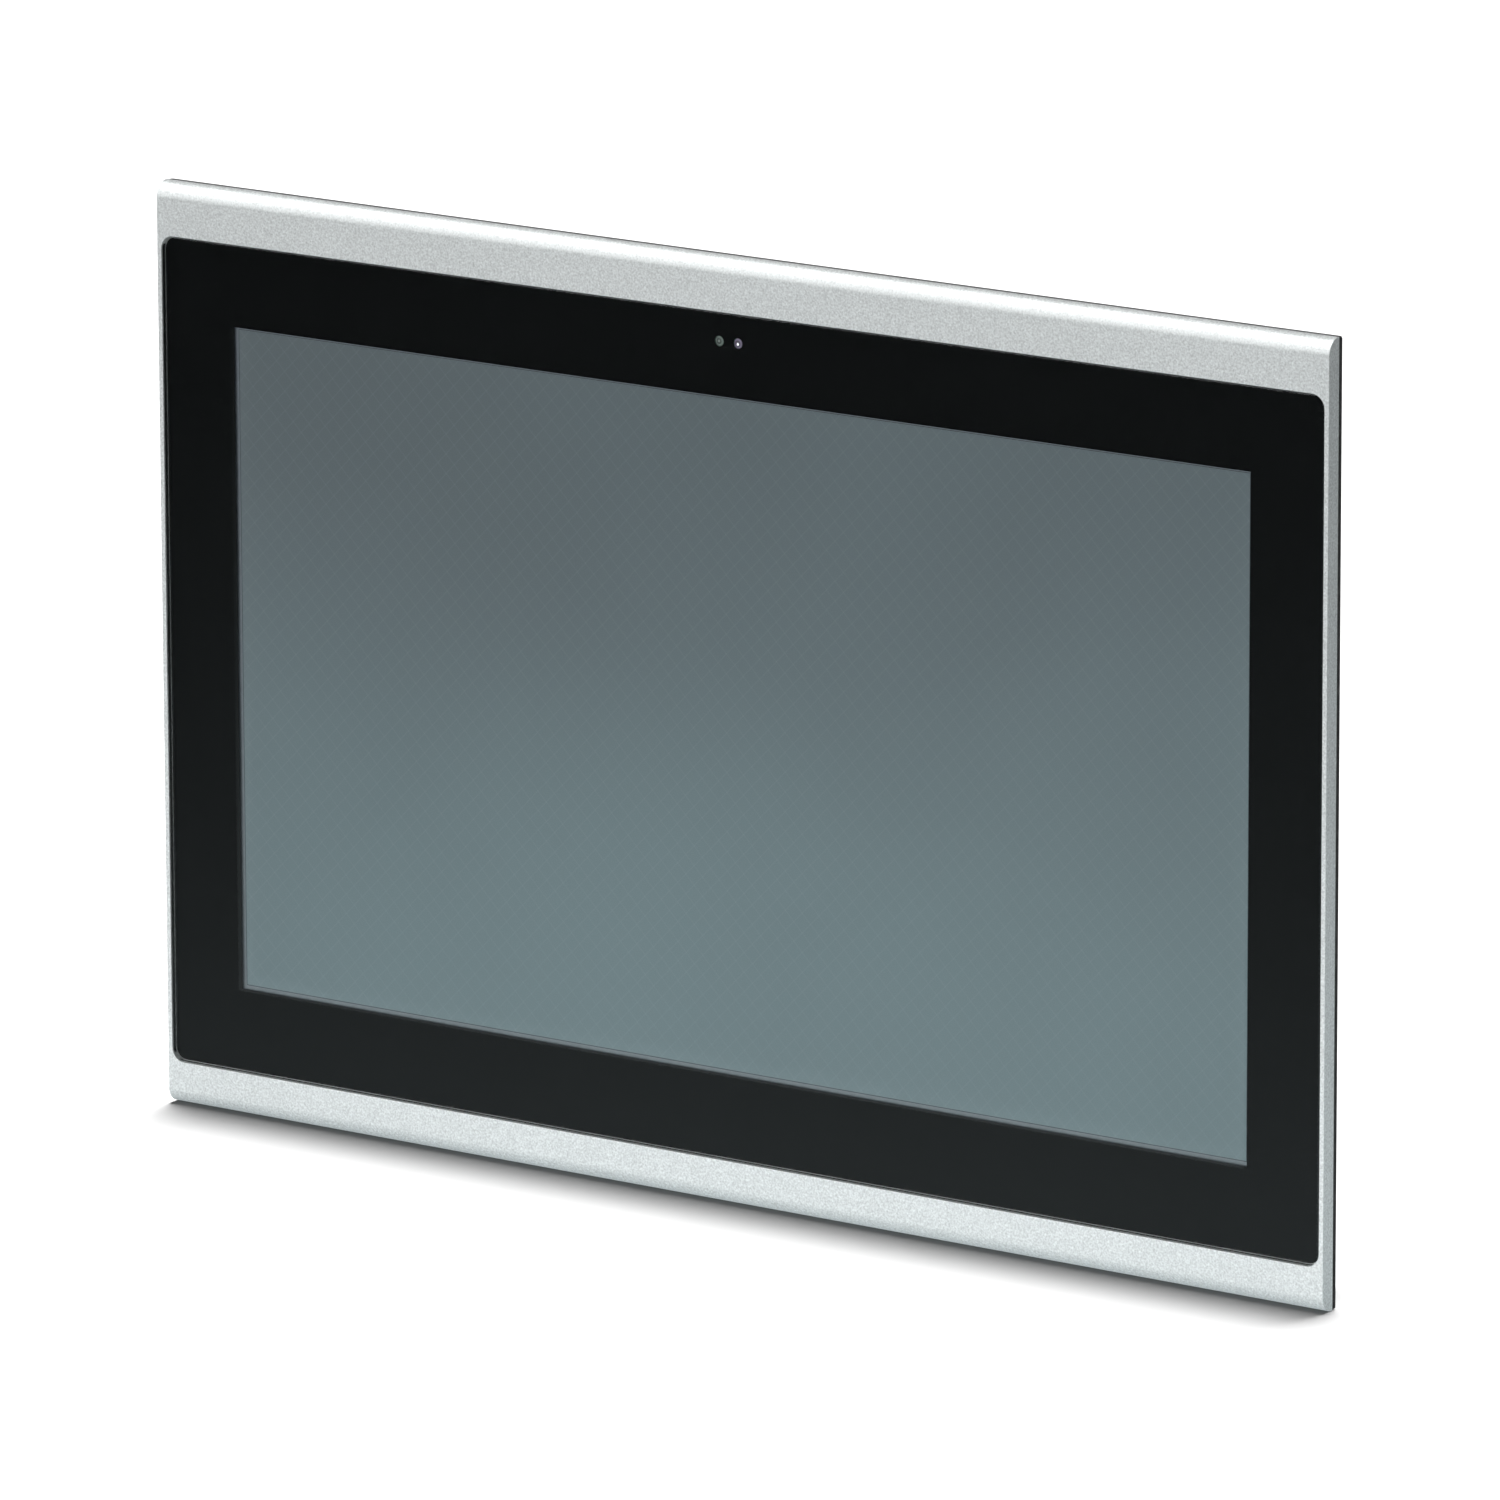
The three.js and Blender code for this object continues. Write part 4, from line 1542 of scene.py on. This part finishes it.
@dataclass
class Housing:
    """The electronics case with its cover, label and screws."""

    half: Spot = (165.0, 105.0)
    flange_rear: float = 23.5
    cover_front: float = 50.0
    cover_rear: float = 51.5
    sink_hole: tuple[Spot, Spot] = ((21, -14), (59, 24))
    slot_rows: tuple[float, ...] = (38, 30, 22, 14, 6, -2, -10, -18)
    slot_ends: Spot = (-140, -70)

    def build(self) -> None:
        """Makes the case, the cover and the label."""
        reworked("electronics_case", 0.35, "folded_case", ZINC)
        self.build_cover()
        self.build_label()

    def build_cover(self) -> None:
        """The cover, its slots, and the screws of cover and flange."""
        w, h = self.half
        left, right = self.slot_ends
        holes = [rounded((left, z - 1.5), (right, z + 1.5), 1.5, 6) for z in self.slot_rows]
        loops = [rounded((-w, -h), (w, h), 2), rounded(*self.sink_hole, 1), *holes]
        cover = Form().plate(loops, self.cover_front, self.cover_rear, edge=0.3)
        cover.piece("slotted_cover", ZINC_DARK, replaces=["rear_cover"])
        x, z = w - 7, h - 7
        corners = [(a, b) for a in (-x, x) for b in (-z, 0, z)]
        edges = [(a, b) for a in (-60, 60) for b in (-z, z)]
        small = PanScrew(2.8, 1.9, 1.6).form()
        spots = corners + edges
        places = [at(a, self.cover_rear, b, 23 * i) for i, (a, b) in enumerate(spots)]
        Form().stamped(small, places).piece("cover_screws", STEEL)
        sides = [(a, b) for a in (-w - 4, w + 4) for b in (-75, 0, 75)]
        rows = [(a, b) for a in (-140, -70, 0, 70, 140) for b in (-h - 4, h + 4)]
        places = [at(a, self.flange_rear, b, 31 * i) for i, (a, b) in enumerate(sides + rows)]
        Form().stamped(PanScrew(2.7, 1.8, 1.5).form(), places).piece("flange_screws", STEEL)

    def build_label(self) -> None:
        """The blank label with its printed frame and ruled fields."""
        (x, z), (_, rear) = spot("nameplate"), reach("nameplate")
        outline = about(72, 38, 2, (x, z))
        label = Form().plate([outline], self.cover_rear, rear - 0.03, edge=0.1)
        label.piece("label_film", LABEL, replaces=["nameplate"])
        lines = Form()
        thick = 0.35
        drawn = [[about(68, 34, 1.2, (x, z)), about(67.2, 33.2, 0.8, (x, z))]]
        drawn += [[about(60, thick, 0, (x, z + 9 - i * 7))] for i in range(4)]
        drawn.append([about(thick, 21, 0, (x - 6, z - 1.5))])
        for loops in drawn:
            lines.plate(loops, rear - 0.06, rear, edge=0.005)
        lines.piece("label_rules", LABEL_LINES)


@dataclass
class HeatSink:
    """The finned sink on the cover, with its four screws."""

    base_rear: float = 55.5
    centre: Spot = (40.0, 5.0)
    screw_spots: tuple[Spot, ...] = ((-57.9, -57), (57.9, -57), (-57.9, 57), (57.9, 57))

    def build(self) -> None:
        """Makes the sink and the screws between its fins."""
        reworked("heat_sink", 0.28, "finned_sink", SINK)
        screw = PanScrew(2.6, 1.9, 1.5).form()
        x, z = self.centre
        places = [at(x + a, self.base_rear, z + b, 20) for a, b in self.screw_spots]
        Form().stamped(screw, places).piece("sink_screws", STEEL)


@dataclass
class Boards:
    """The main board and what stands on it."""

    face: float = 29.6
    cans: tuple[tuple[float, float, float, float], ...] = (
        (-125, 45, 5, 12),
        (-112, 45, 5, 12),
        (-125, -20, 4, 9),
        (-60, 50, 4, 9),
        (95, 45, 5, 12),
        (108, 45, 5, 12),
        (120, -30, 4, 9),
        (75, -50, 3.2, 7),
    )
    blocks: tuple[tuple[float, float, float, float, float], ...] = (
        (-60, -20, 14, 14, 1.2),
        (-30, 40, 12, 20, 1.1),
        (88, 8, 18, 12, 1.1),
        (110, 8, 12, 12, 4.5),
        (-100, -45, 13, 13, 5),
        (-20, -50, 10, 8, 1.4),
        (60, -60, 9, 9, 1),
        (128, 30, 10, 26, 6),
        (-132, 10, 8, 24, 6),
        (20, 48, 26, 8, 5),
    )

    def build(self) -> None:
        """Dresses the boards, and adds capacitors and chips to the main one."""
        dress(CIRCUIT, "main_board")
        dress(CHIP, "processor")
        dress(CONNECTOR, "coin_cell_holder", "reset_switch")
        dress(STEEL, "coin_cell")
        cans = Form()
        for x, z, r, h in self.cans:
            y = self.face
            shape = [(0, y), (r, y), (r, y + 1.2), (r - 0.3, y + 1.5), (r - 0.3, y + 1.9)]
            shape += [(r, y + 2.2), (r, y + h - 0.4), (r - 0.4, y + h), (0, y + h)]
            cans.turned(shape, (x, z), sides=28)
        cans.piece("capacitors", CAN)
        chips = Form()
        for x, z, w, d, h in self.blocks:
            y = self.face
            chips.block((x - w / 2, y, z - d / 2), (x + w / 2, y + h, z + d / 2), 0.2)
        chips.piece("board_chips", CHIP)


# ------------------------------------------------------------------ the connectors


@dataclass
class NetworkSocket:
    """One network socket with its contact springs and two small lamps."""

    number: int
    mouth: float = -105.2
    springs: int = 8
    pitch: float = 1.02
    lamp_x: float = 5.6

    def build(self) -> None:
        """Makes the shell, the springs and the lamps."""
        name = f"lan_socket_{self.number}"
        x = spot(name)[0]
        low, high = reach(name)
        reworked(name, 0.18, f"network_shell_{self.number}", PLATED)
        liner = Form().block((x - 5.8, low + 2.95, -92), (x + 5.8, high - 2.95, -90.3), 0.1)
        liner.piece(f"network_liner_{self.number}", CONNECTOR)
        springs = Form()
        for i in range(self.springs):
            left = x - 3.82 + i * self.pitch
            springs.block((left, low + 3.2, -103), (left + 0.45, low + 3.6, -92), 0.08)
            springs.block((left, low + 3.6, -103), (left + 0.45, low + 5.4, -102.4), 0.08)
        springs.piece(f"network_springs_{self.number}", GOLD)
        for side, finish in ((-1, LAMP_GREEN), (1, LAMP_AMBER)):
            left, right = (x + side * self.lamp_x + half for half in (-1.3, 1.3))
            corner = (right, high - 0.8, self.mouth + 1)
            lamp = Form().block((left, high - 2.2, self.mouth - 0.12), corner, 0.12)
            lamp.piece(f"{finish.name}_{self.number}", finish)


@dataclass
class SerialSocket:
    """One USB socket with its tongue and contacts."""

    number: int
    contacts: int = 4
    pitch: float = 2.4

    def build(self) -> None:
        """Makes the shell, the tongue and the contacts."""
        name = f"usb_socket_{self.number}"
        x = spot(name)[0]
        low, _ = reach(name)
        reworked(name, 0.15, f"serial_shell_{self.number}", PLATED)
        tongue = Form().block((x - 5.5, low + 3.7, -103.6), (x + 5.5, low + 5.4, -94.4), 0.25)
        tongue.piece(f"serial_tongue_{self.number}", CONNECTOR)
        contacts = Form()
        for i in range(self.contacts):
            left = x - 4.1 + i * self.pitch
            contacts.block((left, low + 3.58, -103), (left + 1.0, low + 3.75, -95), 0.05)
        contacts.piece(f"serial_contacts_{self.number}", GOLD)


@dataclass
class SupplyInlet:
    """The supply's header, and the plug that pulls out of it with its terminal screws."""

    pitch: float = 5.08
    screw_radius: float = 1.55
    slot_half: float = 0.25
    sunk: float = 0.9

    def build(self) -> None:
        """Makes the header, the plug and the three screws in it."""
        x, _ = spot("power_plug")
        low, high = reach("power_plug")
        reworked("power_header", 0.2, "supply_header", CONNECTOR)
        reworked("power_plug", 0.3, "supply_plug", GREEN, "power_plug")
        level = reach("power_plug", Axis.Z)[0] + 5.5
        screws, clamps = Form(), Form()
        r, top, middle = self.screw_radius, high - self.sunk, (low + high) / 2 - 1.5
        shape = [(0, top - 1.2), (r, top - 1.2), (r, top), (0, top)]
        ring = [(1.2, -112.2), (1.58, -112.2), (1.58, -110.4), (1.2, -110.4)]
        for place in (x - self.pitch, x, x + self.pitch):
            head = Form().turned(shape, (place, level))
            left, right = place - self.slot_half, place + self.slot_half
            head.cut(Form().block((left, top - 0.5, level - 3), (right, top + 1, level + 3), 0))
            screws.stamped(head, [Matrix()])
            clamps.turned(ring, (place, middle), Axis.Z, 24, True)
        screws.piece("terminal_screws", STEEL, "power_plug")
        clamps.piece("terminal_cages", BRASS, "power_plug")


@dataclass
class CardDoor:
    """The card socket, and the hinged flap over it."""

    rib_step: float = 1.6

    def build(self) -> None:
        """Makes the flap with its finger ribs, and the hinge pin."""
        dress(PLATED, "card_socket")
        (left, right), (front, rear) = reach("card_flap", Axis.X), reach("card_flap")
        flap = Form().node("card_flap").eased(0.18)
        for i in range(4):
            y = front + 2 + i * self.rib_step
            flap.block((left + 9, y, -106.78), (right - 9, y + 0.7, -106.4), 0.12)
        flap.piece("ribbed_flap", CONNECTOR, "card_flap", ["card_flap"])
        pin_left, pin_right = reach("flap_pin", Axis.X)
        centre = spot("flap_pin", Axis.X)
        shape = [(0, pin_left), (0.45, pin_left), (0.6, pin_left + 0.15)]
        shape += [(0.6, pin_right - 0.15), (0.45, pin_right), (0, pin_right)]
        Form().turned(shape, centre, Axis.X, 24).piece("hinge_pin", STEEL, replaces=["flap_pin"])


@dataclass
class ServiceParts:
    """The reset button, and the earthing stud with its nut and washer."""

    def build(self) -> None:
        """Makes the button, the stud, the nut and the washer."""
        low, high = reach("reset_button", Axis.Z)
        centre = spot("reset_button", Axis.Z)
        shape = [(0, low + 0.25), (1.1, low + 0.15), (1.5, low), (1.8, low + 0.3), (1.8, -103.35)]
        shape += [(2.9, -103.3), (3.0, -103.2), (3.0, -102.4), (2.9, -102.3), (1.8, -102.3)]
        shape += [(1.8, high), (0, high)]
        button = Form().turned(shape, centre, Axis.Z)
        button.piece("dished_button", CONNECTOR, "reset_button", ["reset_button"])

        low, high = reach("earth_stud", Axis.Z)
        centre = spot("earth_stud", Axis.Z)
        shape = threaded(2.5, low, -104.0)[:-1]
        shape += [(2.5, -103.5), (4.3, -103.5), (4.5, -103.3), (4.5, high - 0.2), (4.3, high)]
        shape += [(0, high)]
        stud = Form().turned(shape, centre, Axis.Z)
        stud.piece("threaded_stud", BRASS, replaces=["earth_stud"])
        foot = reach("earth_nut", Axis.Z)[0]
        hexagon, bore = circle(centre, 4.62, 6), circle(centre, 2.56)
        nut = Form().plate([hexagon, bore], foot, foot + 3.1, Axis.Z, 0.3)
        nut.piece("earthing_nut", STEEL, replaces=["earth_nut"])
        roots, tips = circle(centre, 4.75, 24), circle(centre, 5.3, 24)
        teeth = [tips[i] if i % 2 else roots[i] for i in range(24)]
        washer = Form().plate([teeth, bore], foot + 3.12, foot + 3.95, Axis.Z, 0.1)
        washer.piece("toothed_washer", STEEL)


# ------------------------------------------------------------------ the studio


@dataclass(frozen=True)
class Ground(StageFinish):
    """The pale floor."""

    def shader(self, net: Network) -> Signal:
        """Matt and pale, with the slightest unevenness.

        Args:
            net: the network to build it in.

        Returns:
            The shader.
        """
        slow = net.noise(3, 2)
        return net.surface(
            Base_Color=net.blend(slow, (0.25, 0.25, 0.25), (0.26, 0.26, 0.26)),
            Roughness=0.9,
            Specular_IOR_Level=0.0,
        )


@dataclass(frozen=True)
class Glow(StageFinish):
    """A pale glow that fades with its distance from a point of the floor."""

    centre: Spot = (0.1, 0.35)
    fade: float = 0.55
    strength: float = 0.95
    level: float = 0.02

    def shader(self, net: Network) -> Signal:
        """Light that falls off outwards.

        Args:
            net: the network to build it in.

        Returns:
            The shader.
        """
        x, y, _ = net.parts(net.place())
        far = ((x - self.centre[0]) ** 2 + (y - self.centre[1]) ** 2) ** 0.5
        light = (far / -self.fade).exponential() * self.strength + self.level
        sockets = {"Color": net.blend(light, (0, 0, 0), (0.86, 0.97, 1)), "Strength": 1.0}
        return net.node("ShaderNodeEmission", sockets=sockets)


@dataclass(frozen=True)
class Backdrop(StageFinish):
    """The white backdrop."""

    def shader(self, net: Network) -> Signal:
        """Even white light."""
        sockets = {"Color": (1, 1, 1, 1), "Strength": 1.1}
        return net.node("ShaderNodeEmission", sockets=sockets)


class Tie(Enum):
    """Whether a light is tied to some objects alone, or kept off them."""

    ONLY = "INCLUDE"
    NOT = "EXCLUDE"


@dataclass(frozen=True)
class Lamp:
    """A soft light, with the objects that it is tied to or kept off."""

    name: str
    power: float
    tie: Tie
    objects: tuple[str, ...]

    def source(self) -> bpy.types.Light:
        """The light's own data."""
        raise NotImplementedError

    def place(self, made: bpy.types.Object) -> None:
        """Sets where the light is and which faces it lights."""
        raise NotImplementedError

    def build(self) -> None:
        """Makes the light and ties it to its objects."""
        source = self.source()
        source.energy = self.power
        made = linked(self.name, source)
        made.rotation_mode = "QUATERNION"
        self.place(made)
        group = bpy.data.collections.new(f"{self.name}_reach")
        for name in self.objects:
            group.objects.link(bpy.data.objects[name])
        for member in group.collection_objects:
            member.light_linking.link_state = self.tie.value
        made.light_linking.receiver_collection = group


@dataclass(frozen=True)
class Sun(Lamp):
    """A light from far away.

    towards is the direction from the panel to it, and spread is how wide it looks in degrees.
    """

    towards: Point
    spread: float
    gloss: bool = False
    matt: bool = True

    def source(self) -> bpy.types.Light:
        """The light's own data.

        Returns:
            The data.
        """
        source = bpy.data.lights.new(self.name, "SUN")
        source.angle = math.radians(self.spread)
        return source

    def place(self, made: bpy.types.Object) -> None:
        """Turns the light, and sets whether polished and matt faces see it.

        Args:
            made: the light.
        """
        made.rotation_quaternion = Vector(self.towards).to_track_quat("Z", "Y")
        made.visible_glossy = self.gloss
        made.visible_diffuse = self.matt


@dataclass(frozen=True)
class Strip(Lamp):
    """A long light close to the panel's foot, which polished faces don't mirror."""

    centre: Point
    size: Spot

    def source(self) -> bpy.types.Light:
        """The light's own data.

        Returns:
            The data.
        """
        source = bpy.data.lights.new(self.name, "AREA")
        source.shape = "RECTANGLE"
        source.size, source.size_y = self.size
        return source

    def place(self, made: bpy.types.Object) -> None:
        """Moves and turns the light, and hides it from the camera and from mirrors.

        Args:
            made: the light.
        """
        made.rotation_quaternion = Vector((0, -1, 0.1)).to_track_quat("Z", "Y")
        made.location = self.centre
        made.visible_glossy = False
        made.visible_camera = False


FLOOR = ("floor",)
SURROUND = ("front_surround",)
LAMPS = (
    Sun("floor_bank", 13.4, Tie.ONLY, FLOOR, (-0.03, 0.045, 1), 6.6),
    Sun("far_floor_light", 6.0, Tie.ONLY, FLOOR, (0.0, 1, 0.6), 50),
    Sun("overhead_bank", 4.0, Tie.NOT, FLOOR, (-0.03, 0.10, 1), 10),
    Sun("edge_light", 1.4, Tie.NOT, FLOOR, (-0.56, -0.22, 0.8), 50, True, False),
    Sun("front_fill", 1.9, Tie.NOT, FLOOR, (0.1, -1, 0.05), 34),
    Sun("front_gloss", 1.0, Tie.NOT, FLOOR, (-0.45, -1, 0.12), 60, True, False),
    Strip("foot_light", 3.2, Tie.NOT, FLOOR, (0, -0.62, -0.11), (1.3, 0.1)),
    Strip("band_light", 0.7, Tie.ONLY, SURROUND, (0, -0.2, -0.14), (1.0, 0.05)),
    Sun("rear_fill", 1.5, Tie.NOT, FLOOR + SURROUND, (0.05, 1, 0.35), 60, True),
    Sun("left_fill", 0.8, Tie.NOT, FLOOR, (-1, 0.1, 0.08), 40),
)


@dataclass
class Studio:
    """The floor, the backdrop, the lights and the camera."""

    floor_level: float = -0.1626
    glow_drop: float = 0.0005
    radius: float = 12.0
    camera_place: Point = (2.4688, -3.5143, 1.0254)
    yaw: float = 35.047
    pitch: float = 13.509
    roll: float = -0.198
    lens: float = 317.04

    def build(self) -> None:
        """Makes the whole studio."""
        self.build_camera()
        self.build_floor()
        self.build_sky()
        for lamp in LAMPS:
            lamp.build()
        bpy.context.scene.view_settings.view_transform = "Standard"

    def build_camera(self) -> None:
        """The camera, level apart from its downward tilt."""
        yaw, pitch, roll = (math.radians(a) for a in (self.yaw, self.pitch, self.roll))
        ahead = Vector((-math.sin(yaw), math.cos(yaw), 0)) * math.cos(pitch)
        ahead.z = -math.sin(pitch)
        right = Vector((math.cos(yaw), math.sin(yaw), 0))
        up = right.cross(ahead)
        across = right * math.cos(roll) + up * math.sin(roll)
        upright = up * math.cos(roll) - right * math.sin(roll)
        data = bpy.data.cameras.new("camera")
        data.lens = self.lens
        data.sensor_width = 36
        data.clip_start, data.clip_end = 0.1, 60
        camera = linked("camera", data)
        turn = Matrix((across, upright, -ahead)).transposed().to_4x4()
        camera.matrix_world = Matrix.Translation(self.camera_place) @ turn
        bpy.context.scene.camera = camera

    def staged(
        self, name: str, shape: bmesh.types.BMesh, finish: StageFinish, hidden: Sequence[str]
    ) -> None:
        """Makes an object of the studio, and frees its shape.

        Args:
            name: its name.
            shape: its shape.
            finish: its finish.
            hidden: the kinds of ray that don't see it.
        """
        mesh = bpy.data.meshes.new(name)
        shape.to_mesh(mesh)
        shape.free()
        mesh.materials.append(finish.material())
        made = linked(name, mesh)
        for kind in hidden:
            setattr(made, f"visible_{kind}", False)

    def disc(self, level: float) -> bmesh.types.BMesh:
        """A level disc.

        Args:
            level: its height in metres.

        Returns:
            The disc's shape.
        """
        shape = bmesh.new()
        bmesh.ops.create_circle(shape, cap_ends=True, radius=self.radius, segments=96)
        bmesh.ops.translate(shape, verts=shape.verts[:], vec=(0, 0, level))
        return shape

    def build_floor(self) -> None:
        """The floor, what polished faces see in its place, and the backdrop."""
        unlit = ("diffuse", "shadow", "transmission", "volume_scatter")
        self.staged("floor", self.disc(self.floor_level), Ground("floor"), ("glossy",))
        below = self.disc(self.floor_level - self.glow_drop)
        self.staged("floor_glow", below, Glow("floor_glow"), ("camera", *unlit))
        dome = bmesh.new()
        bmesh.ops.create_uvsphere(dome, u_segments=64, v_segments=32, radius=self.radius)
        self.staged("backdrop", dome, Backdrop("backdrop"), ("glossy", *unlit))

    def build_sky(self) -> None:
        """Soft light from above that fades towards the horizon."""
        world = bpy.data.worlds.new("sky")
        world.use_nodes = True
        net = Network(world.node_tree)
        height = net.parts(net.node("ShaderNodeTexCoord", out="Generated"))[2]
        stops = [(0.0, (0.03,) * 3), (0.50, (0.05,) * 3), (0.60, (0.12,) * 3), (0.8, (0.24,) * 3)]
        colour = net.node("ShaderNodeValToRGB", {"stops": stops}, {0: height * 0.5 + 0.5})
        sockets = {"Color": colour, "Strength": 1.0}
        net.show(net.node("ShaderNodeBackground", sockets=sockets), "ShaderNodeOutputWorld")
        bpy.context.scene.world = world


def main() -> None:
    """Builds the studio and the panel, piece by piece."""
    logging.basicConfig(level=logging.INFO, format="%(name)s: %(message)s")
    parts = [FrontFrame(), GlassFront(), Display(), Seal(), RearTray()]
    parts += [SwingClamp(number) for number in range(1, 7)]
    parts += [Housing(), HeatSink(), Boards()]
    parts += [NetworkSocket(number) for number in (1, 2)]
    parts += [SerialSocket(number) for number in (1, 2)]
    parts += [SupplyInlet(), CardDoor(), ServiceParts(), Studio()]
    for part in parts:
        part.build()
        LOG.info("%s is built", type(part).__name__)


if __name__ == "__main__":
    main()
